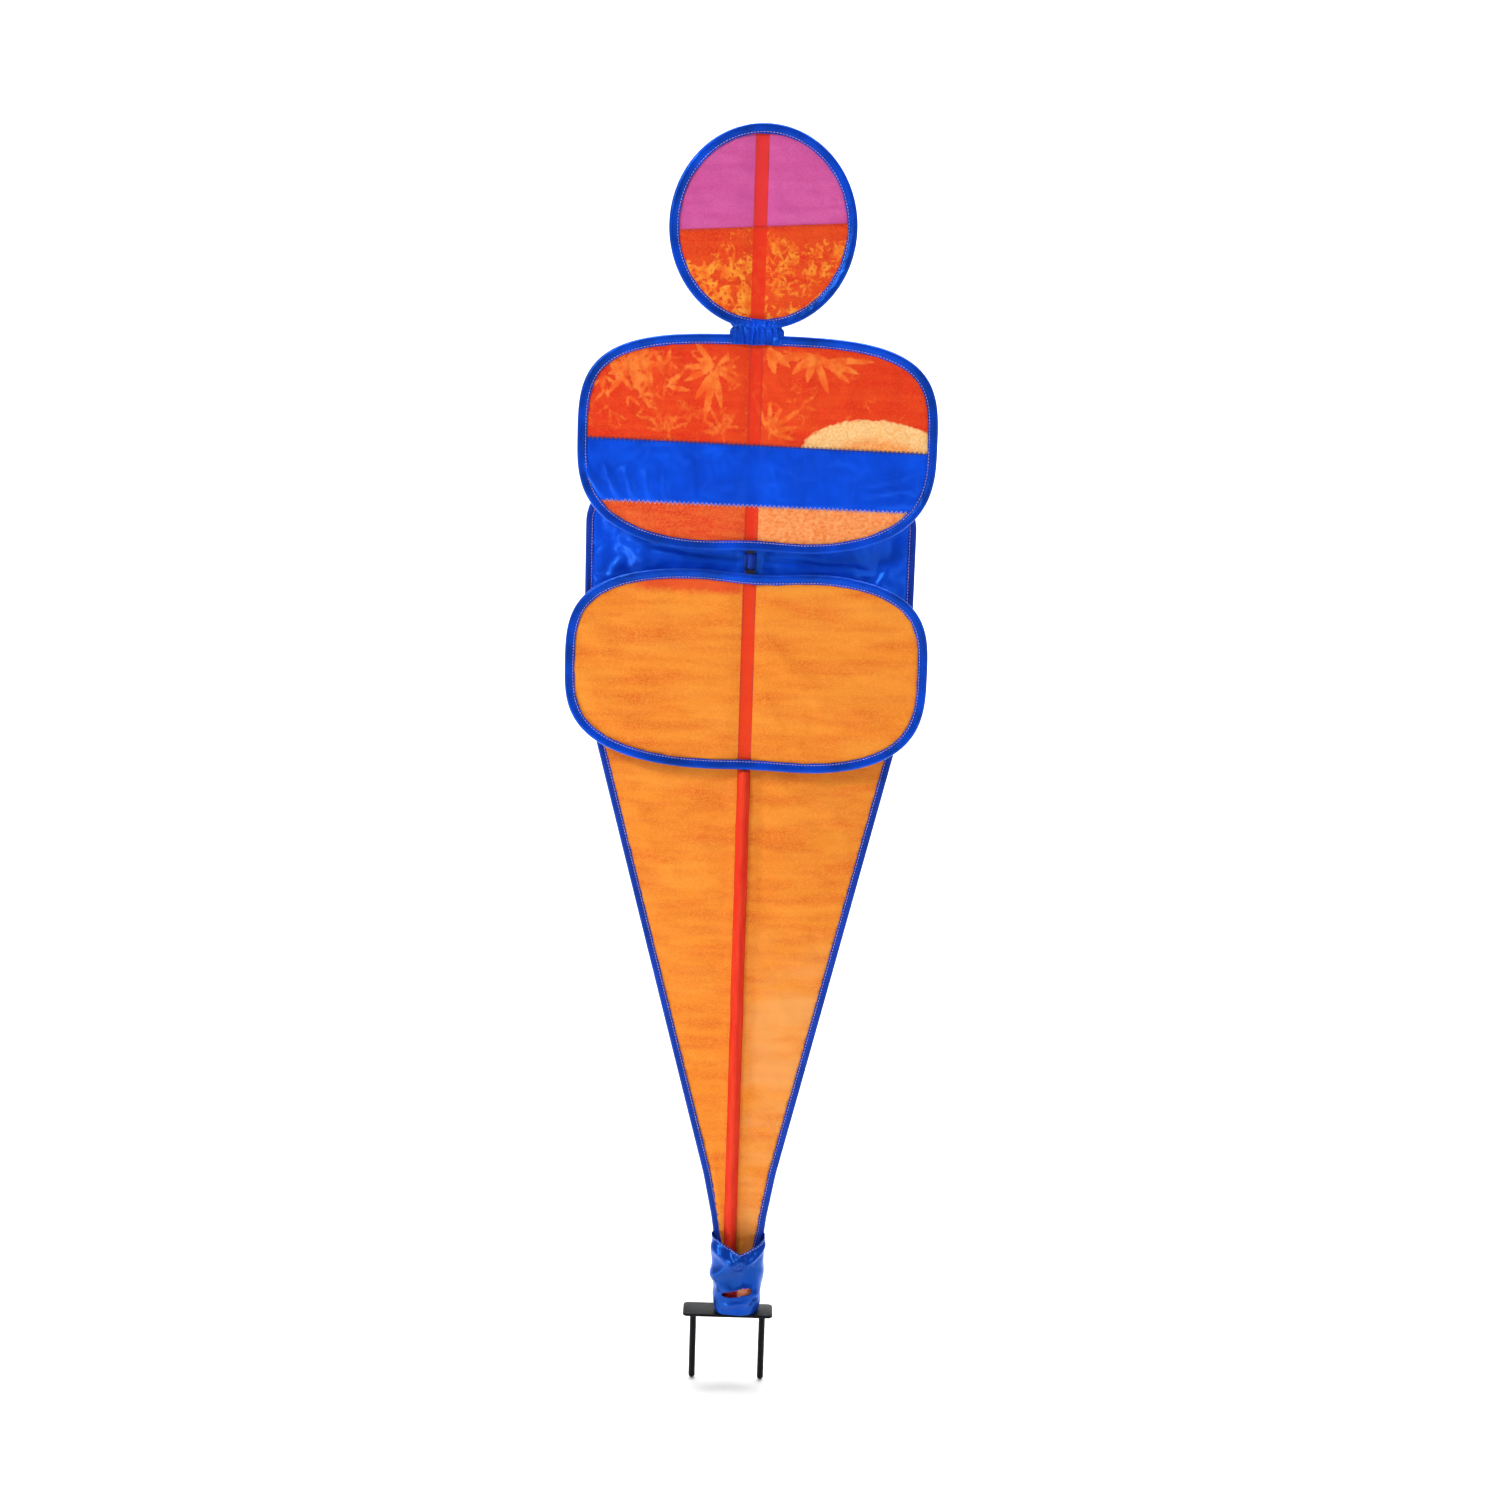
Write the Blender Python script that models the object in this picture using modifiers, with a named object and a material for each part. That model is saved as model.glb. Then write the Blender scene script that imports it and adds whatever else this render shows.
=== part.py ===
"""A garden windsock on a pole: a flat figure made of four fabric hoops that turn on a pole,
which stands in a two-pronged ground stake. Metres, +Z up, -Y is the front.

The origin is where the pole's axis meets the ground: the middle of the crossbar's underside.
"""

import math

import bmesh
import bpy
from mathutils import Matrix, Vector

GAP = 0.0003  # between pieces that rest on, or are sewn to, each other

# Ground stake: a steel crossbar to step on, two prongs and a tube that takes the pole.
CROSSBAR_LENGTH = 0.094
CROSSBAR_DEPTH = 0.030
CROSSBAR_THICKNESS = 0.003
CROSSBAR_CORNER = 0.005
PRONG_DIAMETER = 0.0068
PRONG_FROM_END = 0.0108
PRONG_LENGTH = 0.075
SOCKET_WALL = 0.0017
SOCKET_HEIGHT = 0.035

# Pole: three equal rods, joined by ferrules, with a soft cap on top.
POLE_DIAMETER = 0.006
POLE_FIT = 0.0003  # radial clearance of the rod in its socket, ferrules and cap
POLE_BORE_RADIUS = POLE_DIAMETER / 2 + POLE_FIT
POLE_SECTIONS = ("lower", "middle", "upper")
FERRULE_WALL = 0.0007
FERRULE_LENGTH = 0.050
CAP_LENGTH = 0.015

# Cloth, wire and binding. A binding is a tape folded round the wire and the cloth's edge.
CLOTH = 0.0006
WIRE_DIAMETER = 0.0016
CRIMP_DIAMETER = 0.0028
CRIMP_LENGTH = 0.010
BINDING_WALL = 0.0005
BINDING_BORE = 0.0036  # the round channel for the wire along the fold
BINDING_NOSE = BINDING_BORE / 2 + BINDING_WALL
HOOP_BINDING_WIDTH = 0.0095
BODY_BINDING_WIDTH = 0.0078
PANEL_INSET = 0.0050  # from a binding's fold to the edge of the cloth that it holds
HOOP_POINTS = 48

# Pole sleeves: a tape sewn down along both sides, which leaves a channel for the pole.
SLEEVE_WIDTH = 0.014
SLEEVE_EASE = 0.0005  # from a ferrule to the inside of the channel
SLEEVE_CHANNEL_RADIUS = POLE_BORE_RADIUS + FERRULE_WALL + SLEEVE_EASE
SLEEVE_END_GAP = 0.0015  # from a sleeve's end to the binding
TIE_WALL = 0.0005
TIE_HEIGHT = 0.006
LAYER_FROM_AXIS = SLEEVE_CHANNEL_RADIUS + TIE_WALL + GAP + BINDING_NOSE

# Ankle cuff: a satin tube round the foot of the pole, with a slit across its front.
CUFF_BOTTOM = CROSSBAR_THICKNESS + 2 * GAP
CUFF_HEIGHT = 0.0825
CUFF_TOP = CUFF_BOTTOM + CUFF_HEIGHT
CUFF_TAPER = 0.0105  # how much wider it is at its top than at its foot
CUFF_TOP_DEPTH = 0.0390
CUFF_FOOT_DEPTH = 0.0350
SLIT_WIDTH = 0.034
SLIT_HEIGHT = 0.0055
SLIT_MIDDLE = 0.0225

# Hip hoop, which hangs in front of the body.
HIP_BOTTOM = 0.5805
HIP_WIDTH = 0.360
HIP_HEIGHT = 0.203
HIP_TOP = HIP_BOTTOM + HIP_HEIGHT
HIP_MIDDLE = -0.0010  # each hoop hangs a little to one side of the pole
HIP_SQUARENESS = (2.9, 3.2)

# Bust hoop, with a satin band across it.
WAIST_HEIGHT = 0.0145  # from the hip hoop to the bust hoop
BUST_BOTTOM = HIP_TOP + WAIST_HEIGHT
BUST_WIDTH = 0.351
BUST_HEIGHT = 0.2125
BUST_TOP = BUST_BOTTOM + BUST_HEIGHT
BUST_MIDDLE = 0.0035
BUST_SQUARENESS = (2.8, 3.5)
BAND_BOTTOM = BUST_BOTTOM + 0.046
BAND_HEIGHT = 0.060

# Neck and head hoop.
NECK_WIDTH = 0.050
NECK_HEIGHT = 0.0045
NECK_THICKNESS = 0.004
HEAD_BOTTOM = BUST_TOP + NECK_HEIGHT
HEAD_WIDTH = 0.181
HEAD_HEIGHT = 0.1935
HEAD_TOP = HEAD_BOTTOM + HEAD_HEIGHT
HEAD_MIDDLE = 0.0030
HEAD_SQUARENESS = (2.0, 2.0)
HEAD_SEAM = HEAD_BOTTOM + 0.097  # between the upper and the lower print

# Body: the long tapered piece behind the bust and hips, with the waist above and the legs below.
BODY_WIDTH = 0.329
BODY_TOP = BUST_BOTTOM + 0.070
BODY_TOP_CORNER = 0.045
TAPER_START = HIP_BOTTOM + 0.0745
WAIST_SEAM = HIP_BOTTOM + 0.0595
BODY_BOW = 0.016  # how far the body's side edges stand back from its middle
ANKLE_HEIGHT = CUFF_TOP + 0.002
ANKLE_WIDTH = 0.044
ANKLE_SHIFT = 0.009  # the ankle hangs this far to one side of the pole
EDGE_BOTTOM = CUFF_TOP - 0.026  # where the edge binding and its wire end, inside the cuff
TAIL_BOTTOM = CUFF_BOTTOM + 0.0105
TAIL_WIDTH = 0.028
CUFF_EASE = 0.00675  # from the ankle's edge to the cuff's side

FRONT, BACK = -1, 1  # which side of the pole a layer lies on
POLE_FOOT = CROSSBAR_THICKNESS + GAP
POCKET_TOP = HEAD_TOP - HOOP_BINDING_WIDTH - SLEEVE_END_GAP  # the closed end of the head's sleeve
POCKET_ROOF = POCKET_TOP - CLOTH
POLE_TOP = POCKET_ROOF - GAP - FERRULE_WALL - GAP

MATERIALS = {
    "powder_coated_steel": ((0.012, 0.013, 0.018), 0.45, 0.6),
    "fibreglass": ((0.02, 0.02, 0.02), 0.4, 0.0),
    "spring_steel": ((0.55, 0.56, 0.58), 0.3, 1.0),
    "soft_vinyl": ((0.02, 0.02, 0.02), 0.6, 0.0),
    "blue_satin": ((0.008, 0.062, 0.52), 0.35, 0.0),
    "red_tape": ((0.70, 0.032, 0.012), 0.7, 0.0),
    "black_elastic": ((0.01, 0.01, 0.02), 0.8, 0.0),
    "pink_print": ((0.66, 0.10, 0.31), 0.75, 0.0),
    "leaf_print": ((0.78, 0.11, 0.018), 0.75, 0.0),
    "sand_print": ((0.93, 0.24, 0.025), 0.75, 0.0),
}


def clear_scene():
    for old in list(bpy.data.objects):
        bpy.data.objects.remove(old)


def new_collection(name):
    made = bpy.data.collections.new(name)
    bpy.context.scene.collection.children.link(made)
    return made


def make_materials():
    for name, (colour, roughness, metallic) in MATERIALS.items():
        material = bpy.data.materials.new(name)
        material.use_nodes = True
        shader = material.node_tree.nodes["Principled BSDF"]
        shader.inputs["Base Color"].default_value = (*colour, 1)
        shader.inputs["Roughness"].default_value = roughness
        shader.inputs["Metallic"].default_value = metallic


def add(name, data, material=None, collection=None):
    """A new object of the windsock, or of another collection."""
    made = bpy.data.objects.new(name, data)
    (collection or WINDSOCK).objects.link(made)
    if material:
        data.materials.append(bpy.data.materials[material])
    return made


def as_mesh(curve_object):
    """Turns a curve object into a mesh object of the same name, with its caps welded on."""
    bpy.context.view_layer.update()
    name, world = curve_object.name, curve_object.matrix_world.copy()
    graph = bpy.context.evaluated_depsgraph_get()
    mesh = bpy.data.meshes.new_from_object(curve_object.evaluated_get(graph))
    shape = bmesh.new()
    shape.from_mesh(mesh)
    bmesh.ops.remove_doubles(shape, verts=shape.verts, dist=1e-6)
    shape.to_mesh(mesh)
    shape.free()
    bpy.data.objects.remove(curve_object)
    made = add(name, mesh)
    made.matrix_world = world
    return made


def on_axis(name, height, make):
    """Makes a group of pieces that moves as one, and hangs it on an empty on the pole's axis."""
    others = list(WINDSOCK.objects)
    make()
    pieces = [piece for piece in WINDSOCK.objects if piece not in others]
    pivot = add(name, None)
    pivot.location.z = height
    bpy.context.view_layer.update()
    for piece in pieces:
        piece.parent = pivot
        piece.matrix_parent_inverse = pivot.matrix_world.inverted()


# Turned and flat pieces


def turned(name, profile, closed, material, sides=16):
    """A profile of (radius, height), down its outer side, turned about the pole's axis."""
    count = len(profile)
    edges = [(i, (i + 1) % count) for i in range(count if closed else count - 1)]
    mesh = bpy.data.meshes.new(name)
    mesh.from_pydata([(radius, 0, z) for radius, z in profile], edges, [])
    made = add(name, mesh, material)
    screw = made.modifiers.new("turned", "SCREW")
    screw.steps = screw.render_steps = sides
    screw.use_merge_vertices = True
    screw.merge_threshold = 1e-5
    return made


def tube(name, inner, wall, bottom, top, material, sides=16):
    outer = inner + wall
    profile = [(inner, top), (outer, top), (outer, bottom), (inner, bottom)]
    return turned(name, profile, True, material, sides)


def rod(name, radius, bottom, top, material):
    return turned(name, [(0, top), (radius, top), (radius, bottom), (0, bottom)], False, material)


def flat_piece(name, points, thickness, material):
    """A flat closed outline in the curve's own XY plane, with half its thickness on each side."""
    curve = bpy.data.curves.new(name, "CURVE")
    curve.dimensions = "2D"
    curve.fill_mode = "BOTH"
    curve.extrude = thickness / 2
    add_spline(curve, points, closed=True)
    return add(name, curve, material)


def add_spline(curve, points, closed):
    spline = curve.splines.new("POLY")
    spline.points.add(len(points) - 1)
    for point, (x, y) in zip(spline.points, points):
        point.co = (x, y, 0, 1)
    spline.use_cyclic_u = closed


def stand_up(made, y):
    """Turns what was drawn in XY to face the front, that far behind the pole's axis."""
    made.matrix_world = Matrix.Translation((0, y, 0)) @ Matrix.Rotation(math.pi / 2, 4, "X")
    return made


# Outlines, as lists of (x, z)


def evenly(points, count):
    """A closed outline as that many evenly spaced points, the first half a step from its start."""
    ring = [Vector(p) for p in points] + [Vector(points[0])]
    at = [0.0]
    for a, b in zip(ring, ring[1:]):
        at.append(at[-1] + (b - a).length)
    spaced, k = [], 0
    for i in range(count):
        want = at[-1] * (i + 0.5) / count
        while k < len(at) - 2 and at[k + 1] < want:
            k += 1
        share = (want - at[k]) / (at[k + 1] - at[k])
        spaced.append(ring[k].lerp(ring[k + 1], share))
    return spaced


def superellipse(middle, bottom, width, height, squareness):
    """A hoop's outer edge, whose bottom side is level. The squareness is a power for its lower
    half and one for its upper half: 2 is an ellipse, more is squarer."""
    fine = 720
    points = []
    for i in range(fine):
        turn = 2 * math.pi * i / fine - math.pi / 2
        c, s = math.cos(turn), math.sin(turn)
        power = squareness[s > 0]
        x = middle + width / 2 * math.copysign(abs(c) ** (2 / power), c)
        z = bottom + height / 2 + height / 2 * math.copysign(abs(s) ** (2 / power), s)
        points.append((x, z))
    return evenly(points, HOOP_POINTS)


def inset(points, distance):
    """A closed anticlockwise outline moved inwards."""
    moved = []
    for before, here, after in zip(points[-1:] + points[:-1], points, points[1:] + points[:1]):
        along = (after - before).normalized()
        moved.append(here + Vector((-along.y, along.x)) * distance)
    return moved


def between(points, bottom, top):
    """The part of a closed outline that lies between two heights."""
    for height, sign in ((bottom, 1), (top, -1)):
        kept = []
        for a, b in zip(points, points[1:] + points[:1]):
            da, db = sign * (a.y - height), sign * (b.y - height)
            if da >= 0:
                kept.append(a)
            if da * db < 0:
                kept.append(a.lerp(b, da / (da - db)))
        points = kept
    return points


# Pieces of a hoop


def binding_section(name, width):
    """The section of a folded tape: a round nose for the wire, and two legs that hold the cloth.
    X runs out from the legs' ends at 0 to the fold, and Y across the cloth."""
    leg_inside = CLOTH / 2 + GAP
    leg_outside = leg_inside + BINDING_WALL
    bore, centre = BINDING_BORE / 2, width - BINDING_NOSE
    throat = centre - bore * 1.15
    outside = [(0, leg_outside)] + arc(centre, BINDING_NOSE, 110, -110, 4) + [(0, -leg_outside)]
    inside = [(0, -leg_inside), (throat, -leg_inside)]
    inside += arc(centre, bore, -120, 120, 4) + [(throat, leg_inside), (0, leg_inside)]
    curve = bpy.data.curves.new(name, "CURVE")
    curve.dimensions = "2D"
    curve.fill_mode = "NONE"
    add_spline(curve, outside + inside, closed=True)
    section = add(name, curve, collection=HELPERS)
    section.hide_render = True
    section.display_type = "WIRE"
    return section


def arc(centre_x, radius, start, end, steps, middle_y=0):
    """Points along an arc between two angles in degrees."""
    turns = [math.radians(start + (end - start) * i / steps) for i in range(steps + 1)]
    return [(centre_x + radius * math.cos(t), middle_y + radius * math.sin(t)) for t in turns]


def binding(name, path, closed, section):
    """A binding along a path, which is the line of its legs' ends."""
    curve = bpy.data.curves.new(name, "CURVE")
    curve.dimensions = "3D"
    curve.twist_mode = "Z_UP"
    curve.bevel_mode = "OBJECT"
    curve.bevel_object = section
    curve.use_fill_caps = not closed
    add_spline(curve, path, closed)
    return add(name, curve, "blue_satin")


def wire(name, path):
    curve = bpy.data.curves.new(name, "CURVE")
    curve.dimensions = "3D"
    curve.bevel_depth = WIRE_DIAMETER / 2
    curve.bevel_resolution = 1
    curve.use_fill_caps = True
    add_spline(curve, path, closed=False)
    return add(name, curve, "spring_steel")


def hoop(part, middle, bottom, width, height, squareness):
    """A hoop's binding, its wire, and the crimp that joins the wire's ends at the bottom.
    Returns the outline of the cloth that the binding holds."""
    y = FRONT * LAYER_FROM_AXIS
    edge = superellipse(middle, bottom, width, height, squareness)
    legs = inset(edge, HOOP_BINDING_WIDTH)
    stand_up(binding(f"{part}_binding", legs, True, HOOP_SECTION), y)
    ring = inset(edge, BINDING_NOSE)
    wire_level = ring[0].y
    ends = [Vector((middle + GAP, wire_level)), Vector((middle - GAP, wire_level))]
    stand_up(wire(f"{part}_hoop_wire", ends[:1] + ring + ends[1:]), y)
    bore = WIRE_DIAMETER / 2 + GAP
    half = CRIMP_LENGTH / 2
    crimp = tube(f"{part}_wire_crimp", bore, CRIMP_DIAMETER / 2 - bore, -half, half, "spring_steel", 10)
    crimp.location = (middle, y, wire_level)
    crimp.rotation_euler.y = math.pi / 2
    return inset(edge, PANEL_INSET)


def panel(name, cloth_edge, bottom, top, material):
    """A piece of cloth in a hoop, cut level at a seam below and above."""
    cut = between(cloth_edge, bottom, top)
    return stand_up(flat_piece(name, cut, CLOTH, material), FRONT * LAYER_FROM_AXIS)


def sleeve(name, bottom, top, side, material):
    """A pole sleeve sewn to a layer: side says on which side of the pole that layer lies."""
    sewn_at = LAYER_FROM_AXIS - CLOTH / 2 - GAP
    inner, half = SLEEVE_CHANNEL_RADIUS, SLEEVE_WIDTH / 2
    outer = inner + CLOTH
    points = [(half, sewn_at), (half, sewn_at - CLOTH), (outer, sewn_at - CLOTH)]
    points += arc(0, outer, 0, -180, 8)
    points += [(-outer, sewn_at - CLOTH), (-half, sewn_at - CLOTH), (-half, sewn_at), (-inner, sewn_at)]
    points += arc(0, inner, -180, 0, 8)
    points += [(inner, sewn_at)]
    made = flat_piece(name, [(x, side * y) for x, y in points], top - bottom, material)
    made.location.z = (bottom + top) / 2


def tie(name, middle):
    """An elastic loop round the pole, sewn to the back of a binding where it crosses the pole."""
    bottom, top = middle - TIE_HEIGHT / 2, middle + TIE_HEIGHT / 2
    tube(name, SLEEVE_CHANNEL_RADIUS, TIE_WALL, bottom, top, "black_elastic")


# The object, from the ground up


def make_stake():
    make_crossbar()
    radius = PRONG_DIAMETER / 2
    tip = arc(0, radius, 0, -90, 4, middle_y=radius - PRONG_LENGTH)
    for name, side in (("stake_prong_left", -1), ("stake_prong_right", 1)):
        prong = turned(name, [(0, -GAP), (radius, -GAP)] + tip, False, "powder_coated_steel")
        prong.location.x = side * (CROSSBAR_LENGTH / 2 - PRONG_FROM_END)
    socket_top = POLE_FOOT + SOCKET_HEIGHT
    tube("stake_socket", POLE_BORE_RADIUS, SOCKET_WALL, POLE_FOOT, socket_top, "powder_coated_steel")


def make_crossbar():
    """A flat bar, lying on the ground, with its upright edges rounded."""
    mesh = bpy.data.meshes.new("stake_crossbar")
    shape = bmesh.new()
    size = Matrix.Diagonal((CROSSBAR_LENGTH, CROSSBAR_DEPTH, CROSSBAR_THICKNESS, 1))
    bmesh.ops.create_cube(shape, matrix=Matrix.Translation((0, 0, CROSSBAR_THICKNESS / 2)) @ size)
    upright = [edge for edge in shape.edges if edge.verts[0].co.xy == edge.verts[1].co.xy]
    bmesh.ops.bevel(
        shape, geom=upright, offset=CROSSBAR_CORNER, segments=4, profile=0.5, affect="EDGES"
    )
    shape.to_mesh(mesh)
    shape.free()
    add("stake_crossbar", mesh, "powder_coated_steel")


def make_pole():
    """Three rods that meet end to end in two ferrules, and the cap on the uppermost."""
    step = (POLE_TOP - POLE_FOOT) / len(POLE_SECTIONS)
    for i, section in enumerate(POLE_SECTIONS):
        joint = POLE_FOOT + step * (i + 1)
        rod(f"pole_{section}_section", POLE_DIAMETER / 2, joint - step + GAP, joint, "fibreglass")
        if section != POLE_SECTIONS[-1]:
            low, high = joint - FERRULE_LENGTH / 2, joint + FERRULE_LENGTH / 2
            tube(f"pole_{section}_ferrule", POLE_BORE_RADIUS, FERRULE_WALL, low, high, "spring_steel")
    inner, outer = POLE_BORE_RADIUS, POLE_BORE_RADIUS + FERRULE_WALL
    inside, top = POLE_TOP + GAP, POLE_TOP + GAP + FERRULE_WALL
    rim = top - CAP_LENGTH
    profile = [(0, top), (outer, top), (outer, rim), (inner, rim), (inner, inside), (0, inside)]
    turned("pole_top_cap", profile, False, "soft_vinyl")


def make_head():
    cloth_edge = hoop("head", HEAD_MIDDLE, HEAD_BOTTOM, HEAD_WIDTH, HEAD_HEIGHT, HEAD_SQUARENESS)
    panel("head_lower_panel", cloth_edge, HEAD_BOTTOM, HEAD_SEAM - GAP / 2, "leaf_print")
    panel("head_upper_panel", cloth_edge, HEAD_SEAM + GAP / 2, HEAD_TOP, "pink_print")
    low = HEAD_BOTTOM + HOOP_BINDING_WIDTH + SLEEVE_END_GAP
    sleeve("head_pole_sleeve", low, POCKET_ROOF - GAP, FRONT, "red_tape")
    half = SLEEVE_CHANNEL_RADIUS + CLOTH
    front = CLOTH / 2 + GAP - LAYER_FROM_AXIS
    corners = [(-half, front), (half, front), (half, half), (-half, half)]
    end = flat_piece("head_sleeve_end", corners, CLOTH, "red_tape")
    end.location.z = POCKET_ROOF + CLOTH / 2


def make_bust():
    cloth_edge = hoop("bust", BUST_MIDDLE, BUST_BOTTOM, BUST_WIDTH, BUST_HEIGHT, BUST_SQUARENESS)
    seam = GAP / 2
    band_top = BAND_BOTTOM + BAND_HEIGHT
    panel("bust_lower_panel", cloth_edge, BUST_BOTTOM, BAND_BOTTOM - seam, "sand_print")
    panel("bust_band", cloth_edge, BAND_BOTTOM + seam, band_top - seam, "blue_satin")
    panel("bust_upper_panel", cloth_edge, band_top + seam, BUST_TOP, "leaf_print")
    inside = HOOP_BINDING_WIDTH + SLEEVE_END_GAP
    sleeve("bust_pole_sleeve", BUST_BOTTOM + inside, BUST_TOP - inside, FRONT, "red_tape")
    tie("bust_lower_tie", BUST_BOTTOM + HOOP_BINDING_WIDTH / 2)
    make_neck()


def make_neck():
    """The gathered cloth between the bust hoop and the head hoop, wider at its top."""
    half = NECK_WIDTH / 2
    bottom, top = BUST_TOP + GAP, HEAD_BOTTOM - GAP
    flare = half + NECK_HEIGHT / 2
    corners = [(-half, bottom), (half, bottom), (flare, top), (-flare, top)]
    neck = flat_piece("neck_gather", corners, NECK_THICKNESS, "blue_satin")
    stand_up(neck, FRONT * LAYER_FROM_AXIS)


def make_hips():
    cloth_edge = hoop("hip", HIP_MIDDLE, HIP_BOTTOM, HIP_WIDTH, HIP_HEIGHT, HIP_SQUARENESS)
    panel("hip_panel", cloth_edge, HIP_BOTTOM, HIP_TOP, "sand_print")
    inside = HOOP_BINDING_WIDTH + SLEEVE_END_GAP
    sleeve("hip_pole_sleeve", HIP_BOTTOM + inside, HIP_TOP - inside, FRONT, "red_tape")
    tie("hip_lower_tie", HIP_BOTTOM + HOOP_BINDING_WIDTH / 2)
    tie("hip_upper_tie", HIP_TOP - HOOP_BINDING_WIDTH / 2)


def make_body():
    """The body's edge binding and wire, its two pieces of cloth, its sleeves and its cuff."""
    y = BACK * LAYER_FROM_AXIS
    legs = body_edge(BODY_BINDING_WIDTH)
    bowed(as_mesh(stand_up(binding("body_edge_binding", legs, False, BODY_SECTION), y)))
    bowed(as_mesh(stand_up(wire("body_edge_wire", body_edge(BINDING_NOSE)), y)))
    body_cloth("waist_panel", WAIST_SEAM + GAP / 2, BODY_TOP - PANEL_INSET, 10, "blue_satin")
    body_cloth("leg_panel", TAIL_BOTTOM, WAIST_SEAM - GAP / 2, 16, "sand_print")
    low = ANKLE_HEIGHT
    clear = SLEEVE_WIDTH / 2 + 2 * GAP
    while body_half_width(low, BODY_BINDING_WIDTH) - body_middle(low) < clear:
        low += SLEEVE_WIDTH / 10
    sleeve("leg_pole_sleeve", low, HIP_BOTTOM - SLEEVE_END_GAP, BACK, "red_tape")
    waist_low, waist_high = HIP_TOP + SLEEVE_END_GAP, BUST_BOTTOM - SLEEVE_END_GAP
    sleeve("waist_pole_sleeve", waist_low, waist_high, BACK, "blue_satin")
    make_cuff()


def body_half_width(z, moved_in=0.0):
    """Half the body's width at a height, for its outer edge or for a line that far inside it."""
    half = BODY_WIDTH / 2 - moved_in
    if z < ANKLE_HEIGHT:
        share = (ANKLE_HEIGHT - z) / (ANKLE_HEIGHT - TAIL_BOTTOM)
        return ANKLE_WIDTH / 2 - moved_in + (TAIL_WIDTH - ANKLE_WIDTH) / 2 * share
    if z < TAPER_START:
        half -= (BODY_WIDTH - ANKLE_WIDTH) / 2 * (TAPER_START - z) / (TAPER_START - ANKLE_HEIGHT)
    corner = BODY_TOP_CORNER - moved_in
    above = z - (BODY_TOP - BODY_TOP_CORNER)
    if above > 0:
        half -= corner - math.sqrt(max(corner**2 - above**2, 0))
    return half


def body_middle(z):
    """Where the middle of the body lies: it drifts to one side towards the ankle."""
    share = (TAPER_START - z) / (TAPER_START - ANKLE_HEIGHT)
    return ANKLE_SHIFT * min(max(share, 0), 1)


def body_edge(moved_in):
    """The body's edge from one ankle, over the top and down to the other, moved in by a distance."""
    corner = BODY_TOP_CORNER - moved_in
    straight_top = BODY_TOP - BODY_TOP_CORNER
    heights = [EDGE_BOTTOM]
    heights += [ANKLE_HEIGHT + (TAPER_START - ANKLE_HEIGHT) * i / 12 for i in range(12)]
    heights += [TAPER_START + (straight_top - TAPER_START) * i / 4 for i in range(4)]
    heights += [straight_top + corner * math.sin(math.radians(15 * i)) for i in range(7)]
    right = [Vector((body_middle(z) + body_half_width(z, moved_in), z)) for z in heights]
    left = [Vector((body_middle(z) - body_half_width(z, moved_in), z)) for z in heights]
    top = [right[-1].lerp(left[-1], i / 6) for i in range(1, 6)]
    return right + top + left[::-1]


def bowed(made):
    """Bends a piece of the body back at its sides, so that it clears the hoops in front."""
    mesh = made.data
    mesh.transform(made.matrix_world)
    made.matrix_world = Matrix.Identity(4)
    for vertex in mesh.vertices:
        vertex.co.y += BODY_BOW * (vertex.co.x / (BODY_WIDTH / 2)) ** 2
    return made


def body_cloth(name, bottom, top, rows, material):
    """A piece of the body's cloth, as a grid that follows the edge's width and the bow."""
    mesh = bpy.data.meshes.new(name)
    shape = bmesh.new()
    bmesh.ops.create_grid(shape, x_segments=12, y_segments=rows, size=1)
    for vertex in shape.verts:
        across, up = vertex.co.x, (vertex.co.y + 1) / 2
        z = bottom + (top - bottom) * up
        x = body_middle(z) + across * body_half_width(z, PANEL_INSET)
        vertex.co = (x, BACK * LAYER_FROM_AXIS, z)
    shape.to_mesh(mesh)
    shape.free()
    mesh.shade_smooth()
    solidify(bowed(add(name, mesh, material)), offset=0)


def solidify(made, offset):
    thick = made.modifiers.new("cloth", "SOLIDIFY")
    thick.thickness = CLOTH
    thick.offset = offset


def make_cuff():
    """An oval tube that narrows to its foot, with the slit cut through its front."""
    mesh = bpy.data.meshes.new("ankle_cuff")
    shape = bmesh.new()
    bmesh.ops.create_cone(shape, segments=28, radius1=1, radius2=1, depth=1, cap_ends=False)
    upright = [edge for edge in shape.edges if edge.verts[0].co.z != edge.verts[1].co.z]
    bmesh.ops.subdivide_edges(shape, edges=upright, cuts=4, use_grid_fill=True)
    top_width = ANKLE_WIDTH + 2 * CUFF_EASE
    for vertex in shape.verts:
        up = vertex.co.z + 0.5
        width = top_width - CUFF_TAPER * (1 - up)
        depth = CUFF_TOP_DEPTH + (CUFF_FOOT_DEPTH - CUFF_TOP_DEPTH) * (1 - up)
        vertex.co.x = ANKLE_SHIFT + vertex.co.x * width / 2
        vertex.co.y *= depth / 2
        vertex.co.z = CUFF_BOTTOM + CUFF_HEIGHT * up
    shape.to_mesh(mesh)
    shape.free()
    mesh.shade_smooth()
    cuff = add("ankle_cuff", mesh, "blue_satin")
    solidify(cuff, offset=-1)
    cut = cuff.modifiers.new("slit", "BOOLEAN")
    cut.object = slit_cutter()
    cut.operation = "DIFFERENCE"


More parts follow.
